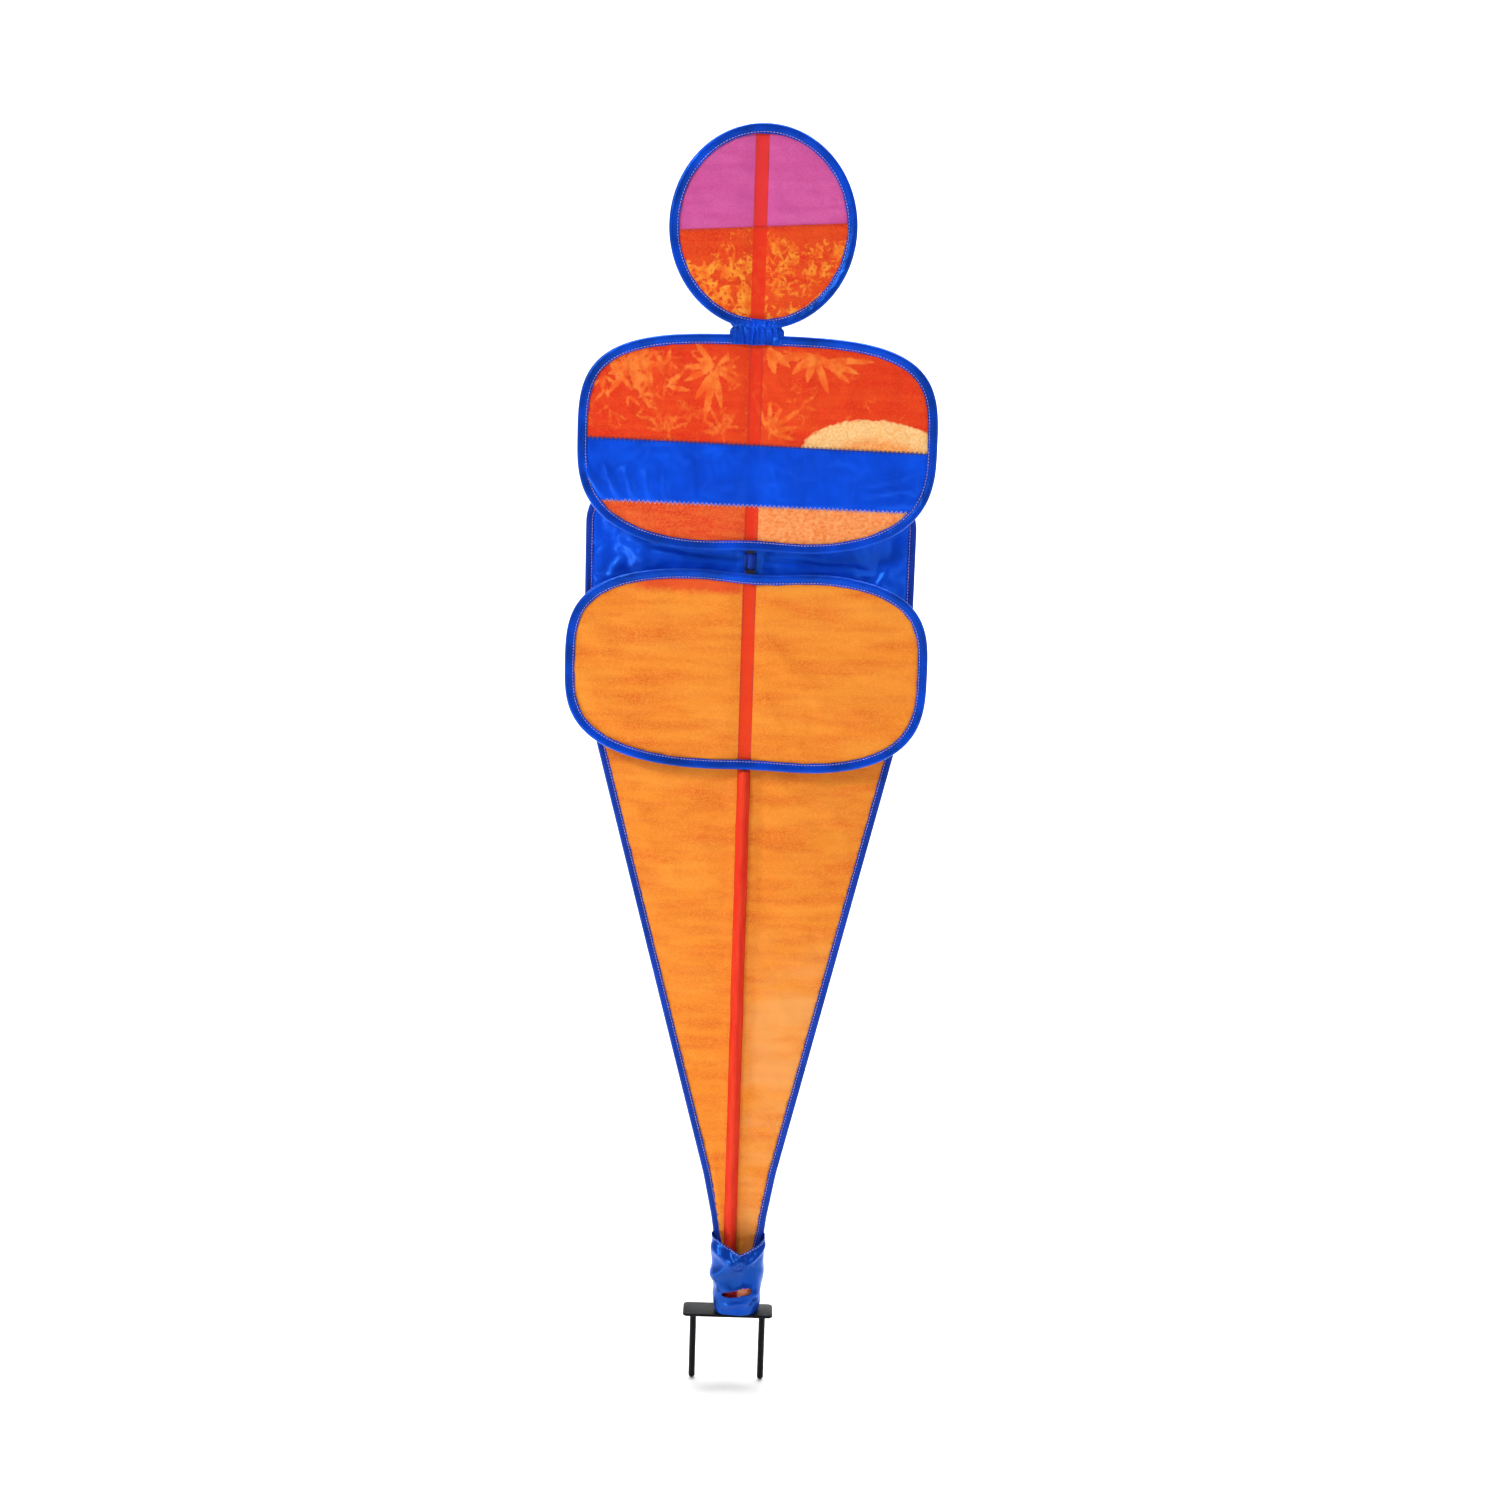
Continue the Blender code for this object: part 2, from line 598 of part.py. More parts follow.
def slit_cutter():
    """A flat bar with round ends, standing across the front of the cuff."""
    radius = SLIT_HEIGHT / 2
    reach = SLIT_WIDTH / 2 - radius
    points = arc(reach, radius, -90, 90, 6) + arc(-reach, radius, 90, 270, 6)
    bar = stand_up(flat_piece("slit_cutter", points, CUFF_FOOT_DEPTH / 2, "blue_satin"), 0)
    bar.location = (ANKLE_SHIFT, -CUFF_FOOT_DEPTH / 2, SLIT_MIDDLE)
    cutter = as_mesh(bar)
    WINDSOCK.objects.unlink(cutter)
    HELPERS.objects.link(cutter)
    cutter.hide_render = True
    cutter.display_type = "WIRE"
    return cutter


clear_scene()
WINDSOCK = new_collection("windsock_with_pole")
HELPERS = new_collection("helpers")
make_materials()
HOOP_SECTION = binding_section("hoop_binding_section", HOOP_BINDING_WIDTH)
BODY_SECTION = binding_section("body_binding_section", BODY_BINDING_WIDTH)

make_stake()
on_axis("pole_pivot", POLE_FOOT, make_pole)
on_axis("body_pivot", CUFF_BOTTOM, make_body)
on_axis("hip_pivot", HIP_BOTTOM, make_hips)
on_axis("bust_pivot", BUST_BOTTOM, make_bust)
on_axis("head_pivot", HEAD_BOTTOM, make_head)
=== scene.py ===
"""The looks of a garden windsock on a pole: cloth hoops, satin bindings, prints and stitching,
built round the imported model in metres, with +Z up and the front towards -Y."""

import math
import random

import bmesh
import bpy
import numpy as np
from mathutils import Matrix, Vector, noise
from mathutils.geometry import delaunay_2d_cdt
from mathutils.kdtree import KDTree


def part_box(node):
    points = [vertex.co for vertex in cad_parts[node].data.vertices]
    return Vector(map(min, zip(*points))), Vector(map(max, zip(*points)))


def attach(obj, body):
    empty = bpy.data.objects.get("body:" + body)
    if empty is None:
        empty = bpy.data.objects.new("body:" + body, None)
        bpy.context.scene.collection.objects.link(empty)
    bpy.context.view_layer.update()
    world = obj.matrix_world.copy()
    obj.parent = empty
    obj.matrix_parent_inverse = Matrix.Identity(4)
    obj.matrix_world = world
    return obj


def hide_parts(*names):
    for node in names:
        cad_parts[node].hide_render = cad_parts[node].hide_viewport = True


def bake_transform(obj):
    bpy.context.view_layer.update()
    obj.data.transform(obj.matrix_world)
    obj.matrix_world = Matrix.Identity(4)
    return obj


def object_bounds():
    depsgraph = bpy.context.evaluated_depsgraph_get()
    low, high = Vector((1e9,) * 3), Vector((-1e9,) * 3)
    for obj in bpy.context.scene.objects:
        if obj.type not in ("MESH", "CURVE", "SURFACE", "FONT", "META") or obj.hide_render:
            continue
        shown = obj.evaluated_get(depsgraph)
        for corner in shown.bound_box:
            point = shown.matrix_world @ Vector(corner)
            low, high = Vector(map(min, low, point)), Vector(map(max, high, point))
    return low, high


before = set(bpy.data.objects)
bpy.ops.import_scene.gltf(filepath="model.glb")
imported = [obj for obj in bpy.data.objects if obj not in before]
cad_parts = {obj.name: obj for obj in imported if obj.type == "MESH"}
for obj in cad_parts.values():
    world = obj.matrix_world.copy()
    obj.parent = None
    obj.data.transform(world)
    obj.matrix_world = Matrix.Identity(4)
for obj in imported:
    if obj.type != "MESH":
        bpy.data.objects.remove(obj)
cad_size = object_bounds()

# ---------------------------------------------------------------------------
# Ground stake. A flat steel step bar with two round prongs and the pole's socket welded to it,
# all dipped in black powder coat. The bar's edges are rounded by the coat, and the welds show
# as small fillets round the prongs.

BAR_CORNER = 0.005
STAKE_EDGE = 0.0007
SOCKET_ROOM = 0.0003
WELD_RADIUS = 0.0012


def fill_sockets(tree, made, inputs):
    """Sets each named socket of a node to a value, or links it from another socket."""
    for socket, value in inputs.items():
        if isinstance(value, bpy.types.NodeSocket):
            tree.links.new(value, made.inputs[socket])
        else:
            made.inputs[socket].default_value = value


def add_node(tree, kind, inputs, **settings):
    made = tree.nodes.new(kind)
    for name, value in settings.items():
        setattr(made, name, value)
    fill_sockets(tree, made, inputs or {})
    return made


def shader_node(tree, kind, inputs=None, **settings):
    return add_node(tree, "ShaderNode" + kind, inputs, **settings)


def group_node(tree, group, inputs):
    return shader_node(tree, "Group", inputs, node_tree=group)


def math_node(tree, operation, *values):
    made = shader_node(tree, "Math", dict(enumerate(values)), operation=operation)
    return made.outputs[0]


def shader_group(name, inputs, outputs):
    """An empty group with named sockets, given as name to kind, or to a number it starts at."""
    group = bpy.data.node_groups.new(name, "ShaderNodeTree")
    for label, start in inputs.items():
        kind = "NodeSocketVector" if start is None else "NodeSocketFloat"
        socket = group.interface.new_socket(label, in_out="INPUT", socket_type=kind)
        if start is not None:
            socket.default_value = start
    for label in outputs:
        group.interface.new_socket(label, in_out="OUTPUT", socket_type="NodeSocketFloat")
    return group, group.nodes.new("NodeGroupInput").outputs, group.nodes.new("NodeGroupOutput").inputs


def paint(red, green, blue):
    """A colour from its screen values, from 0 to 255."""
    return (*(((c / 255 + 0.055) / 1.055) ** 2.4 for c in (red, green, blue)), 1.0)


def mottle_group():
    """Soft blotches of one size, from 0 to 1, drawn out along each axis by a stretch."""
    inputs = {"Vector": None, "Size": 0.01, "Low": 0.35, "High": 0.65, "Detail": 3.0}
    group, given, result = shader_group("mottle", inputs, ["Mask"])
    scale = math_node(group, "DIVIDE", 1.0, given["Size"])
    cloud = shader_node(
        group, "TexNoise", {"Vector": given["Vector"], "Scale": scale, "Detail": given["Detail"]}
    )
    span = {"Value": cloud.outputs["Fac"], "From Min": given["Low"], "From Max": given["High"]}
    mask = shader_node(group, "MapRange", span)
    group.links.new(mask.outputs["Result"], result["Mask"])
    return group


MOTTLE = mottle_group()


def mottle(tree, vector, size, low=0.35, high=0.65, detail=3.0):
    inputs = {"Vector": vector, "Size": size, "Low": low, "High": high, "Detail": detail}
    return group_node(tree, MOTTLE, inputs).outputs["Mask"]


def new_material(name, roughness, metallic=0.0, **sockets):
    """A material with a Principled shader, its tree, and the piece's own coordinates."""
    material = bpy.data.materials.new(name)
    material.use_nodes = True
    tree = material.node_tree
    shader = tree.nodes["Principled BSDF"]
    shader.inputs["Roughness"].default_value = roughness
    shader.inputs["Metallic"].default_value = metallic
    for socket, value in sockets.items():
        shader.inputs[socket.replace("_", " ")].default_value = value
    place = shader_node(tree, "TexCoord").outputs["Object"]
    return material, tree, shader, place


def mix_colour(tree, factor, a, b):
    made = shader_node(tree, "Mix", {0: factor, 6: a, 7: b}, data_type="RGBA")
    return made.outputs[2]


def stretched(tree, place, x=1.0, y=1.0, z=1.0):
    """The same coordinates, with a pattern drawn out along an axis by the number given for it."""
    scale = (1 / x, 1 / y, 1 / z)
    return shader_node(tree, "Mapping", {"Vector": place, "Scale": scale}).outputs[0]


def bump(tree, shader, height, distance):
    made = shader_node(tree, "Bump", {"Height": height, "Distance": distance, "Strength": 1.0})
    tree.links.new(made.outputs[0], shader.inputs["Normal"])


def colour_with(tree, shader, colour):
    tree.links.new(colour, shader.inputs["Base Color"])


def powder_coat():
    material, tree, shader, place = new_material("black_powder_coat", 0.42, Specular_IOR_Level=0.10)
    dust = mottle(tree, place, 0.018, 0.45, 0.75)
    colour = mix_colour(tree, dust, paint(6, 7, 10), paint(15, 17, 25))
    colour_with(tree, shader, colour)
    orange_peel = mottle(tree, place, 0.0011, 0.3, 0.7, 1.0)
    bump(tree, shader, orange_peel, 0.00006)
    rough = shader_node(tree, "MapRange", {"Value": dust, "To Min": 0.36, "To Max": 0.55})
    tree.links.new(rough.outputs[0], shader.inputs["Roughness"])
    return material


POWDER_COAT = powder_coat()


def new_piece(name, mesh, material):
    made = bpy.data.objects.new(name, mesh)
    bpy.context.scene.collection.objects.link(made)
    mesh.materials.append(material)
    return made


def mesh_from(name, verts, faces):
    mesh = bpy.data.meshes.new(name)
    mesh.from_pydata([tuple(v) for v in verts], [], faces)
    mesh.shade_smooth()
    return mesh


def grid_faces(bands, columns, wraps=True):
    """The quads of a net of points, laid row by row, whose rows may close up into rings."""
    faces = []
    for row in range(bands):
        for i in range(columns if wraps else columns - 1):
            a, b = row * columns + i, row * columns + (i + 1) % columns
            faces.append((a, b, b + columns, a + columns))
    return faces


def turned_mesh(name, profile, middle, sides=32):
    """A closed profile of (radius, height), down its outer side, turned about an upright axis."""
    verts, faces = [], []
    count = len(profile)
    for i in range(sides):
        turn = 2 * math.pi * i / sides
        for radius, z in profile:
            verts.append((middle[0] + radius * math.cos(turn), middle[1] + radius * math.sin(turn), z))
    for i in range(sides):
        for k in range(count - 1):
            a, b = i * count + k, ((i + 1) % sides) * count + k
            faces.append((a, a + 1, b + 1, b))
    mesh = mesh_from(name, verts, faces)
    shape = bmesh.new()
    shape.from_mesh(mesh)
    bmesh.ops.remove_doubles(shape, verts=shape.verts, dist=1e-7)
    bmesh.ops.recalc_face_normals(shape, faces=shape.faces)
    shape.to_mesh(mesh)
    shape.free()
    return mesh


def arc(centre, radius, start, end, steps):
    """Points along an arc between two angles in degrees."""
    turns = [math.radians(start + (end - start) * i / steps) for i in range(steps + 1)]
    return [(centre[0] + radius * math.cos(t), centre[1] + radius * math.sin(t)) for t in turns]


def finish_piece(made, body, slot, *replaced):
    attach(made, body)
    if replaced:
        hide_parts(*replaced)


def make_step_bar():
    low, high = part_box("stake_crossbar")
    x, y = high.x - BAR_CORNER, high.y - BAR_CORNER
    outline = []
    for sign_x, sign_y, start in ((1, 1, 0), (-1, 1, 90), (-1, -1, 180), (1, -1, 270)):
        outline += arc((sign_x * x, sign_y * y), BAR_CORNER, start, start + 90, 8)
    shape = bmesh.new()
    face = shape.faces.new([shape.verts.new((px, py, low.z)) for px, py in outline])
    raised = bmesh.ops.extrude_face_region(shape, geom=[face])
    lifted = [v for v in raised["geom"] if isinstance(v, bmesh.types.BMVert)]
    bmesh.ops.translate(shape, verts=lifted, vec=(0, 0, high.z - low.z))
    rims = [e for e in shape.edges if abs(e.verts[0].co.z - e.verts[1].co.z) < 1e-6]
    bmesh.ops.bevel(shape, geom=rims, offset=STAKE_EDGE, segments=3, profile=0.5, affect="EDGES")
    bmesh.ops.recalc_face_normals(shape, faces=shape.faces)
    mesh = bpy.data.meshes.new("step_bar")
    shape.to_mesh(mesh)
    shape.free()
    mesh.shade_smooth()
    mesh.set_sharp_from_angle(angle=math.radians(35))
    bar = new_piece("step_bar", mesh, POWDER_COAT)
    finish_piece(bar, "root", "stake_steel", "stake_crossbar")


def make_prongs():
    for side in ("left", "right"):
        low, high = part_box(f"stake_prong_{side}")
        radius, middle = (high.x - low.x) / 2, ((high.x + low.x) / 2, (high.y + low.y) / 2)
        weld = arc((radius + WELD_RADIUS, high.z - WELD_RADIUS), WELD_RADIUS, 90, 180, 4)
        tip = arc((0, low.z + radius), radius, 0, -90, 8)
        profile = [(0, high.z)] + weld + tip
        prong = new_piece(f"prong_{side}", turned_mesh("prong", profile, middle), POWDER_COAT)
        finish_piece(prong, "root", "stake_steel", f"stake_prong_{side}")


def make_socket():
    low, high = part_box("stake_socket")
    outer = (high.x - low.x) / 2
    pole_low, pole_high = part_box("pole_lower_section")
    inner = (pole_high.x - pole_low.x) / 2 + SOCKET_ROOM
    rim = (outer - inner) / 2
    weld = arc((outer + WELD_RADIUS, low.z + WELD_RADIUS), WELD_RADIUS, 180, 270, 4)
    profile = [(inner, low.z)] + arc(((inner + outer) / 2, high.z - rim), rim, 180, 0, 6)
    profile += weld + [(inner, low.z)]
    socket = new_piece("pole_socket", turned_mesh("socket", profile, (0, 0)), POWDER_COAT)
    finish_piece(socket, "root", "stake_steel", "stake_socket")


make_step_bar()
make_prongs()
make_socket()

# ---------------------------------------------------------------------------
# Pole. Three pultruded glass-fibre rods, black, with fine streaks along their length. Two drawn
# steel tubes join them, and a dipped vinyl cap covers the upper end.


def repaint(node_name, material):
    """A new finish for a node whose shape is right as it is."""
    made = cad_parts[node_name]
    made.data.materials.clear()
    made.data.materials.append(material)


def glass_fibre():
    material, tree, shader, place = new_material("black_glass_fibre", 0.35, Specular_IOR_Level=0.4)
    streaks = mottle(tree, stretched(tree, place, z=60), 0.0006, 0.3, 0.7)
    colour = mix_colour(tree, streaks, (0.008, 0.008, 0.009, 1), (0.028, 0.027, 0.026, 1))
    colour_with(tree, shader, colour)
    bump(tree, shader, streaks, 0.00004)
    return material


def drawn_steel(name, pale, bright):
    material, tree, shader, place = new_material(name, 0.32, 1.0)
    draw_lines = mottle(tree, stretched(tree, place, z=90), 0.0005, 0.3, 0.7)
    colour = mix_colour(tree, draw_lines, pale, bright)
    colour_with(tree, shader, colour)
    rough = shader_node(tree, "MapRange", {"Value": draw_lines, "To Min": 0.25, "To Max": 0.42})
    tree.links.new(rough.outputs[0], shader.inputs["Roughness"])
    return material


def dipped_vinyl():
    material, tree, shader, place = new_material("dipped_vinyl", 0.55)
    bloom = mottle(tree, place, 0.004)
    colour = mix_colour(tree, bloom, (0.010, 0.010, 0.011, 1), (0.020, 0.020, 0.022, 1))
    colour_with(tree, shader, colour)
    bump(tree, shader, bloom, 0.0001)
    return material


GLASS_FIBRE = glass_fibre()
DRAWN_STEEL = drawn_steel("drawn_steel", paint(160, 162, 166), paint(196, 198, 202))
BLACK_STEEL = drawn_steel("blackened_steel", paint(38, 38, 42), paint(62, 62, 68))
for section in ("lower", "middle", "upper"):
    repaint(f"pole_{section}_section", GLASS_FIBRE)
for ferrule in ("pole_lower_ferrule", "pole_middle_ferrule"):
    repaint(ferrule, BLACK_STEEL)
repaint("pole_top_cap", dipped_vinyl())

# ---------------------------------------------------------------------------
# Hoop wires. Each hoop is a ring of spring-steel wire whose ends meet in a crimped sleeve at
# the bottom. The hoops are pulled in a little where they are tied to the pole.

WIRE_FROM_EDGE = 0.0023
WIRE_RADIUS = 0.0008
WIRE_SIDES = 8
CRIMP_RADIUS = 1.7 * WIRE_RADIUS
DIP_REACH = 0.048
EDGE_SPACING = 0.0024
OUTLINE_STEPS = 1440


class Hoop:
    """The outer edge of one hoop, read from its binding's box."""

    def __init__(self, name, squareness, tilt=(0, 0), top_dip=0.0, bottom_rise=0.0, dip_at=0.0):
        low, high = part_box(f"{name}_binding")
        self.name = name
        self.layer = (low.y + high.y) / 2
        self.middle = (low.x + high.x) / 2
        half_width, half_height = (high.x - low.x) / 2, (high.z - low.z) / 2
        level = (low.z + high.z) / 2
        points = []
        for i in range(OUTLINE_STEPS):
            turn = 2 * math.pi * i / OUTLINE_STEPS - math.pi / 2
            c, s = math.cos(turn), math.sin(turn)
            power = squareness[s > 0]
            x = half_width * math.copysign(abs(c) ** (2 / power), c)
            z = half_height * math.copysign(abs(s) ** (2 / power), s)
            pull = math.exp(-(((self.middle + x - dip_at) / DIP_REACH) ** 2))
            z -= pull * (top_dip if s > 0 else -bottom_rise)
            z += x * math.tan(math.radians(tilt[s > 0])) * abs(z) / half_height
            points.append(Vector((self.middle + x, level + z)))
        self.edge = evenly(points, EDGE_SPACING)

    def flat(self, point):
        """The hoop lies in one layer, whatever the point."""
        return self.layer


def evenly(points, spacing):
    """A closed outline with its points evenly spaced along it, about that far apart."""
    ring = points + points[:1]
    at = np.cumsum([0.0] + [(b - a).length for a, b in zip(ring, ring[1:])])
    count = round(at[-1] / spacing)
    wanted = np.arange(count) * at[-1] / count
    xs = np.interp(wanted, at, [p.x for p in ring])
    zs = np.interp(wanted, at, [p.y for p in ring])
    return [Vector((x, z)) for x, z in zip(xs, zs)]


def outwards(points, closed=True):
    """The unit normal at each point of an anticlockwise outline."""
    normals = []
    for i, _ in enumerate(points):
        before = points[i - 1] if closed or i else points[0]
        after = points[(i + 1) % len(points)] if closed or i < len(points) - 1 else points[-1]
        along = (after - before).normalized()
        normals.append(Vector((along.y, -along.x)))
    return normals


def inset(points, distance):
    return [p - n * distance for p, n in zip(points, outwards(points))]


def round_sweep(name, path, radius, layer, closed):
    """A round rod along a path of (x, z) in a layer, with capped ends where it is open."""
    verts, faces = [], []
    for point, out in zip(path, outwards(path, closed)):
        for k in range(WIRE_SIDES):
            turn = 2 * math.pi * k / WIRE_SIDES
            off = out * (radius * math.cos(turn))
            y = layer(point) + radius * math.sin(turn)
            verts.append((point.x + off.x, y, point.y + off.y))
    rings = len(path)
    for i in range(rings if closed else rings - 1):
        for k in range(WIRE_SIDES):
            a, b = i * WIRE_SIDES, ((i + 1) % rings) * WIRE_SIDES
            faces.append((a + k, b + k, b + (k + 1) % WIRE_SIDES, a + (k + 1) % WIRE_SIDES))
    if not closed:
        last = range((rings - 1) * WIRE_SIDES, rings * WIRE_SIDES)
        faces += [tuple(range(WIRE_SIDES)), tuple(reversed(last))]
    mesh = mesh_from(name, verts, faces)
    outward_faces(mesh)
    return mesh


def outward_faces(mesh):
    shape = bmesh.new()
    shape.from_mesh(mesh)
    bmesh.ops.recalc_face_normals(shape, faces=shape.faces)
    shape.to_mesh(mesh)
    shape.free()


def make_hoop_wire(hoop, body):
    path = inset(hoop.edge, WIRE_FROM_EDGE)
    ring = round_sweep(f"{hoop.name}_wire", path, WIRE_RADIUS, hoop.flat, closed=True)
    wire = new_piece(f"{hoop.name}_wire", ring, DRAWN_STEEL)
    finish_piece(wire, body, "spring_wire", f"{hoop.name}_hoop_wire")
    sleeve = path[-2:] + path[:3]
    mesh = round_sweep(f"{hoop.name}_crimp", sleeve, CRIMP_RADIUS, hoop.flat, closed=False)
    crimp = new_piece(f"{hoop.name}_crimp", mesh, DRAWN_STEEL)
    finish_piece(crimp, body, "spring_wire", f"{hoop.name}_wire_crimp")


HEAD = Hoop("head", (2.0, 2.0))
BUST = Hoop("bust", (2.8, 3.5), tilt=(-0.3, -0.4), bottom_rise=0.004)
HIPS = Hoop("hip", (3.0, 3.3), tilt=(-1.7, -0.6), top_dip=0.005, bottom_rise=0.0025, dip_at=0.012)
HOOPS = ((HEAD, "head"), (BUST, "bust"), (HIPS, "hips"))
for hoop, body in HOOPS:
    make_hoop_wire(hoop, body)

# ---------------------------------------------------------------------------
# Satin bindings. A bias tape of royal-blue polyester satin is folded over the wire and the
# cloth's raw edge, and sewn through. It puckers along the stitching and shines on the fold.

BINDING_WIDTH = 0.0098
TAPE_THICKNESS = 0.0005
TAPE_LEG = 0.0017
STITCH_INSET = 0.0014
FRONT_CROWN = 0.0013
BACK_CROWN = 0.0003
PUCKER = 0.0005
EDGE_DRIFT = 0.0006
FOLD_DEPTH = 0.0022


def satin_shader(name, dark, bright, roughness=0.30, gloss=1.8):
    """A tight, glossy weave: its floats lie one way, patches of painted sheen lighten and darken it, and a
    painted sheen pales its colour where it turns away.
    """
    material, tree, shader, place = new_material(
        name, roughness, IOR=gloss, Specular_IOR_Level=1.0, Specular_Tint=paint(52, 136, 255)
    )
    floats = mottle(tree, stretched(tree, place, x=9), 0.0005, 0.3, 0.7, 1.0)
    # Broad dark and bright patches over the satin: painted sheen.
    shade = mottle(tree, place, 0.035, 0.3, 0.75)
    colour = mix_colour(tree, shade, dark, bright)
    thread = mix_colour(tree, math_node(tree, "MULTIPLY", floats, 0.15), colour, paint(30, 90, 235))
    # Where the satin turns away, its colour is mixed towards pale blue: a painted sheen.
    slant = shader_node(tree, "LayerWeight", {"Blend": 0.35}).outputs["Facing"]
    pale = math_node(tree, "MULTIPLY", math_node(tree, "POWER", slant, 2.2), 0.5)
    colour_with(tree, shader, mix_colour(tree, pale, thread, paint(70, 150, 240)))
    bump(tree, shader, floats, 0.00005)
    return material


# Each satin's dark and bright colours are the two ends of its painted sheen patches.
SATIN = satin_shader("royal_satin", paint(3, 20, 108), paint(8, 66, 216))
TAPE_SATIN = satin_shader("indigo_satin", paint(22, 40, 128), paint(32, 54, 164), 0.42, 1.5)


def tape_section(width, nose):
    """A folded tape from its front edge round the fold to its back edge, as (inwards, y). The
    wire's side stands up in a soft crown, more at the front than at the back."""
    stitched = width - STITCH_INSET
    shares = [1 - i / 7 for i in range(7)]

    def face(crown):
        crowned = []
        for share in shares:
            raised = crown * math.cos(math.pi / 2 * share) ** 1.3
            crowned.append((nose + (stitched - nose) * share, TAPE_LEG + raised))
        return [(width, 1.1 * TAPE_LEG), ((width + stitched) / 2, TAPE_LEG)] + crowned

    front, back = face(FRONT_CROWN), face(BACK_CROWN)
    fold_line = []
    for i in range(1, 10):
        turn = math.pi * i / 10
        reach = TAPE_LEG + (FRONT_CROWN if i < 5 else BACK_CROWN)
        fold_line.append((nose * (1 - math.sin(turn)), -reach * math.cos(turn)))
    return [(i, -y) for i, y in front] + fold_line + back[::-1]


def tape_mesh(name, edge, layer, closed, width, nose, seed):
    """A folded tape along an outer edge, puckered across its length. The puckers are noise read
    round a ring in a seed's plane, so that they meet where the tape does."""
    section = tape_section(width, nose)
    verts, faces = [], []
    count, length = len(section), 0.0
    for i, (point, out) in enumerate(zip(edge, outwards(edge, closed))):
        length += (point - edge[i - 1]).length if i else 0
        turn = 2 * math.pi * i / len(edge)
        ring = Vector((math.cos(turn), math.sin(turn), 0)) * len(edge) * 0.07
        drift = EDGE_DRIFT * noise.noise(ring * 0.5 + Vector((0, 0, seed)))
        for k, (inwards, y) in enumerate(section):
            face = -1 if y < 0 else 1
            crease = noise.noise(ring * 4.5 + Vector((0, 0, seed + face * 3 + k * 0.22)))
            fine = noise.noise(ring * 9 + Vector((0, 0, seed + face * 5 + k * 0.3)))
            free = math.sin(math.pi * min(1, max(0, inwards / (width - STITCH_INSET))))
            lift = PUCKER * (crease + 0.5 * fine) * (free if inwards < width - 0.5 * STITCH_INSET else 0.4)
            across = inwards + drift * (inwards / width)
            place = point - out * across
            verts.append((place.x, layer(point) + y + face * lift, place.y))
    for i in range(len(edge) if closed else len(edge) - 1):
        a, b = i * count, ((i + 1) % len(edge)) * count
        faces += [(a + k, a + k + 1, b + k + 1, b + k) for k in range(count - 1)]
    return mesh_from(name, verts, faces), length


def thicken(made, thickness, offset):
    solid = made.modifiers.new("thickness", "SOLIDIFY")
    solid.thickness = thickness
    solid.offset = offset
    solid.use_even_offset = False


def make_binding(name, edge, layer, closed, width, nose, material, body, seed, *replaced):
    mesh, length = tape_mesh(name, edge, layer, closed, width, nose, seed)
    tape = new_piece(name, mesh, material)
    thicken(tape, TAPE_THICKNESS, -1)
    finish_piece(tape, body, "blue_satin", *replaced)
    return tape


for order, (hoop, body) in enumerate(HOOPS):
    make_binding(
        f"{hoop.name}_satin_binding", hoop.edge, hoop.flat, True, BINDING_WIDTH, FOLD_DEPTH,
        SATIN, body, 7.0 * order, f"{hoop.name}_binding",
    )

# ---------------------------------------------------------------------------
# Hoop cloth. Each hoop is filled with thin printed polyester, cut to the hoop's outline and sewn
# into its binding. The hoop and the pole's sleeve pull it tight, so it has only shallow pulls.
# The red sleeve behind it shows through as a stripe.

CLOTH = 0.0006
PANEL_FROM_EDGE = 0.0060
CELL = 0.0036
PLAIN_CELL = 0.0044
HEAD_LEAF_CELL = 0.0019
BUST_LEAF_CELL = 0.0021
SEAM_LAP = 0.0025
LAP_STEP = 0.0008
SEWN_WIDTH = 0.0042
SETTLE_FRAMES = 16
PULL_TO_POLE = 0.0024
PULL_WIDTH = 0.012
STRIPE = 0.0134
STRIPE_BLUR = 0.0004
WEAVE_THREAD = 0.0007
WEAVE_DEPTH = 0.00007
PANEL_SLACK = 0.004
PANEL_REACH = 0.003

RED_TAPE = paint(228, 48, 24)
LILAC = paint(206, 178, 226)


def weave_group():
    """A plain weave: threads of one size crossing under and over, as a height from 0 to 1."""
    group, given, result = shader_group("weave", {"Vector": None, "Thread": 0.0006}, ["Height"])
    axes = shader_node(group, "SeparateXYZ", {"Vector": given["Vector"]}).outputs
    turn = math_node(group, "DIVIDE", math.pi, given["Thread"])
    warp = math_node(group, "SINE", math_node(group, "MULTIPLY", axes["X"], turn))
    weft = math_node(group, "SINE", math_node(group, "MULTIPLY", axes["Z"], turn))
    height = math_node(group, "MULTIPLY_ADD", math_node(group, "MULTIPLY", warp, weft), 0.5, 0.5)
    group.links.new(height, result["Height"])
    return group


WEAVE = weave_group()


def weave(tree, vector, thread):
    return group_node(tree, WEAVE, {"Vector": vector, "Thread": thread}).outputs["Height"]


def ramp(tree, value, start, end):
    """From 0 to 1 as a value goes from start to end, and steady beyond them."""
    made = shader_node(tree, "MapRange", {"Value": value, "From Min": start, "From Max": end})
    return made.outputs["Result"]


def axes_of(tree, place):
    return shader_node(tree, "SeparateXYZ", {"Vector": place}).outputs


def polyester(name):
    """Thin matt cloth in a plain weave, with no colour yet."""
    made = new_material(name, 0.8, Specular_IOR_Level=0.15)
    bump(made[1], made[2], weave(made[1], made[3], WEAVE_THREAD), WEAVE_DEPTH)
    return made


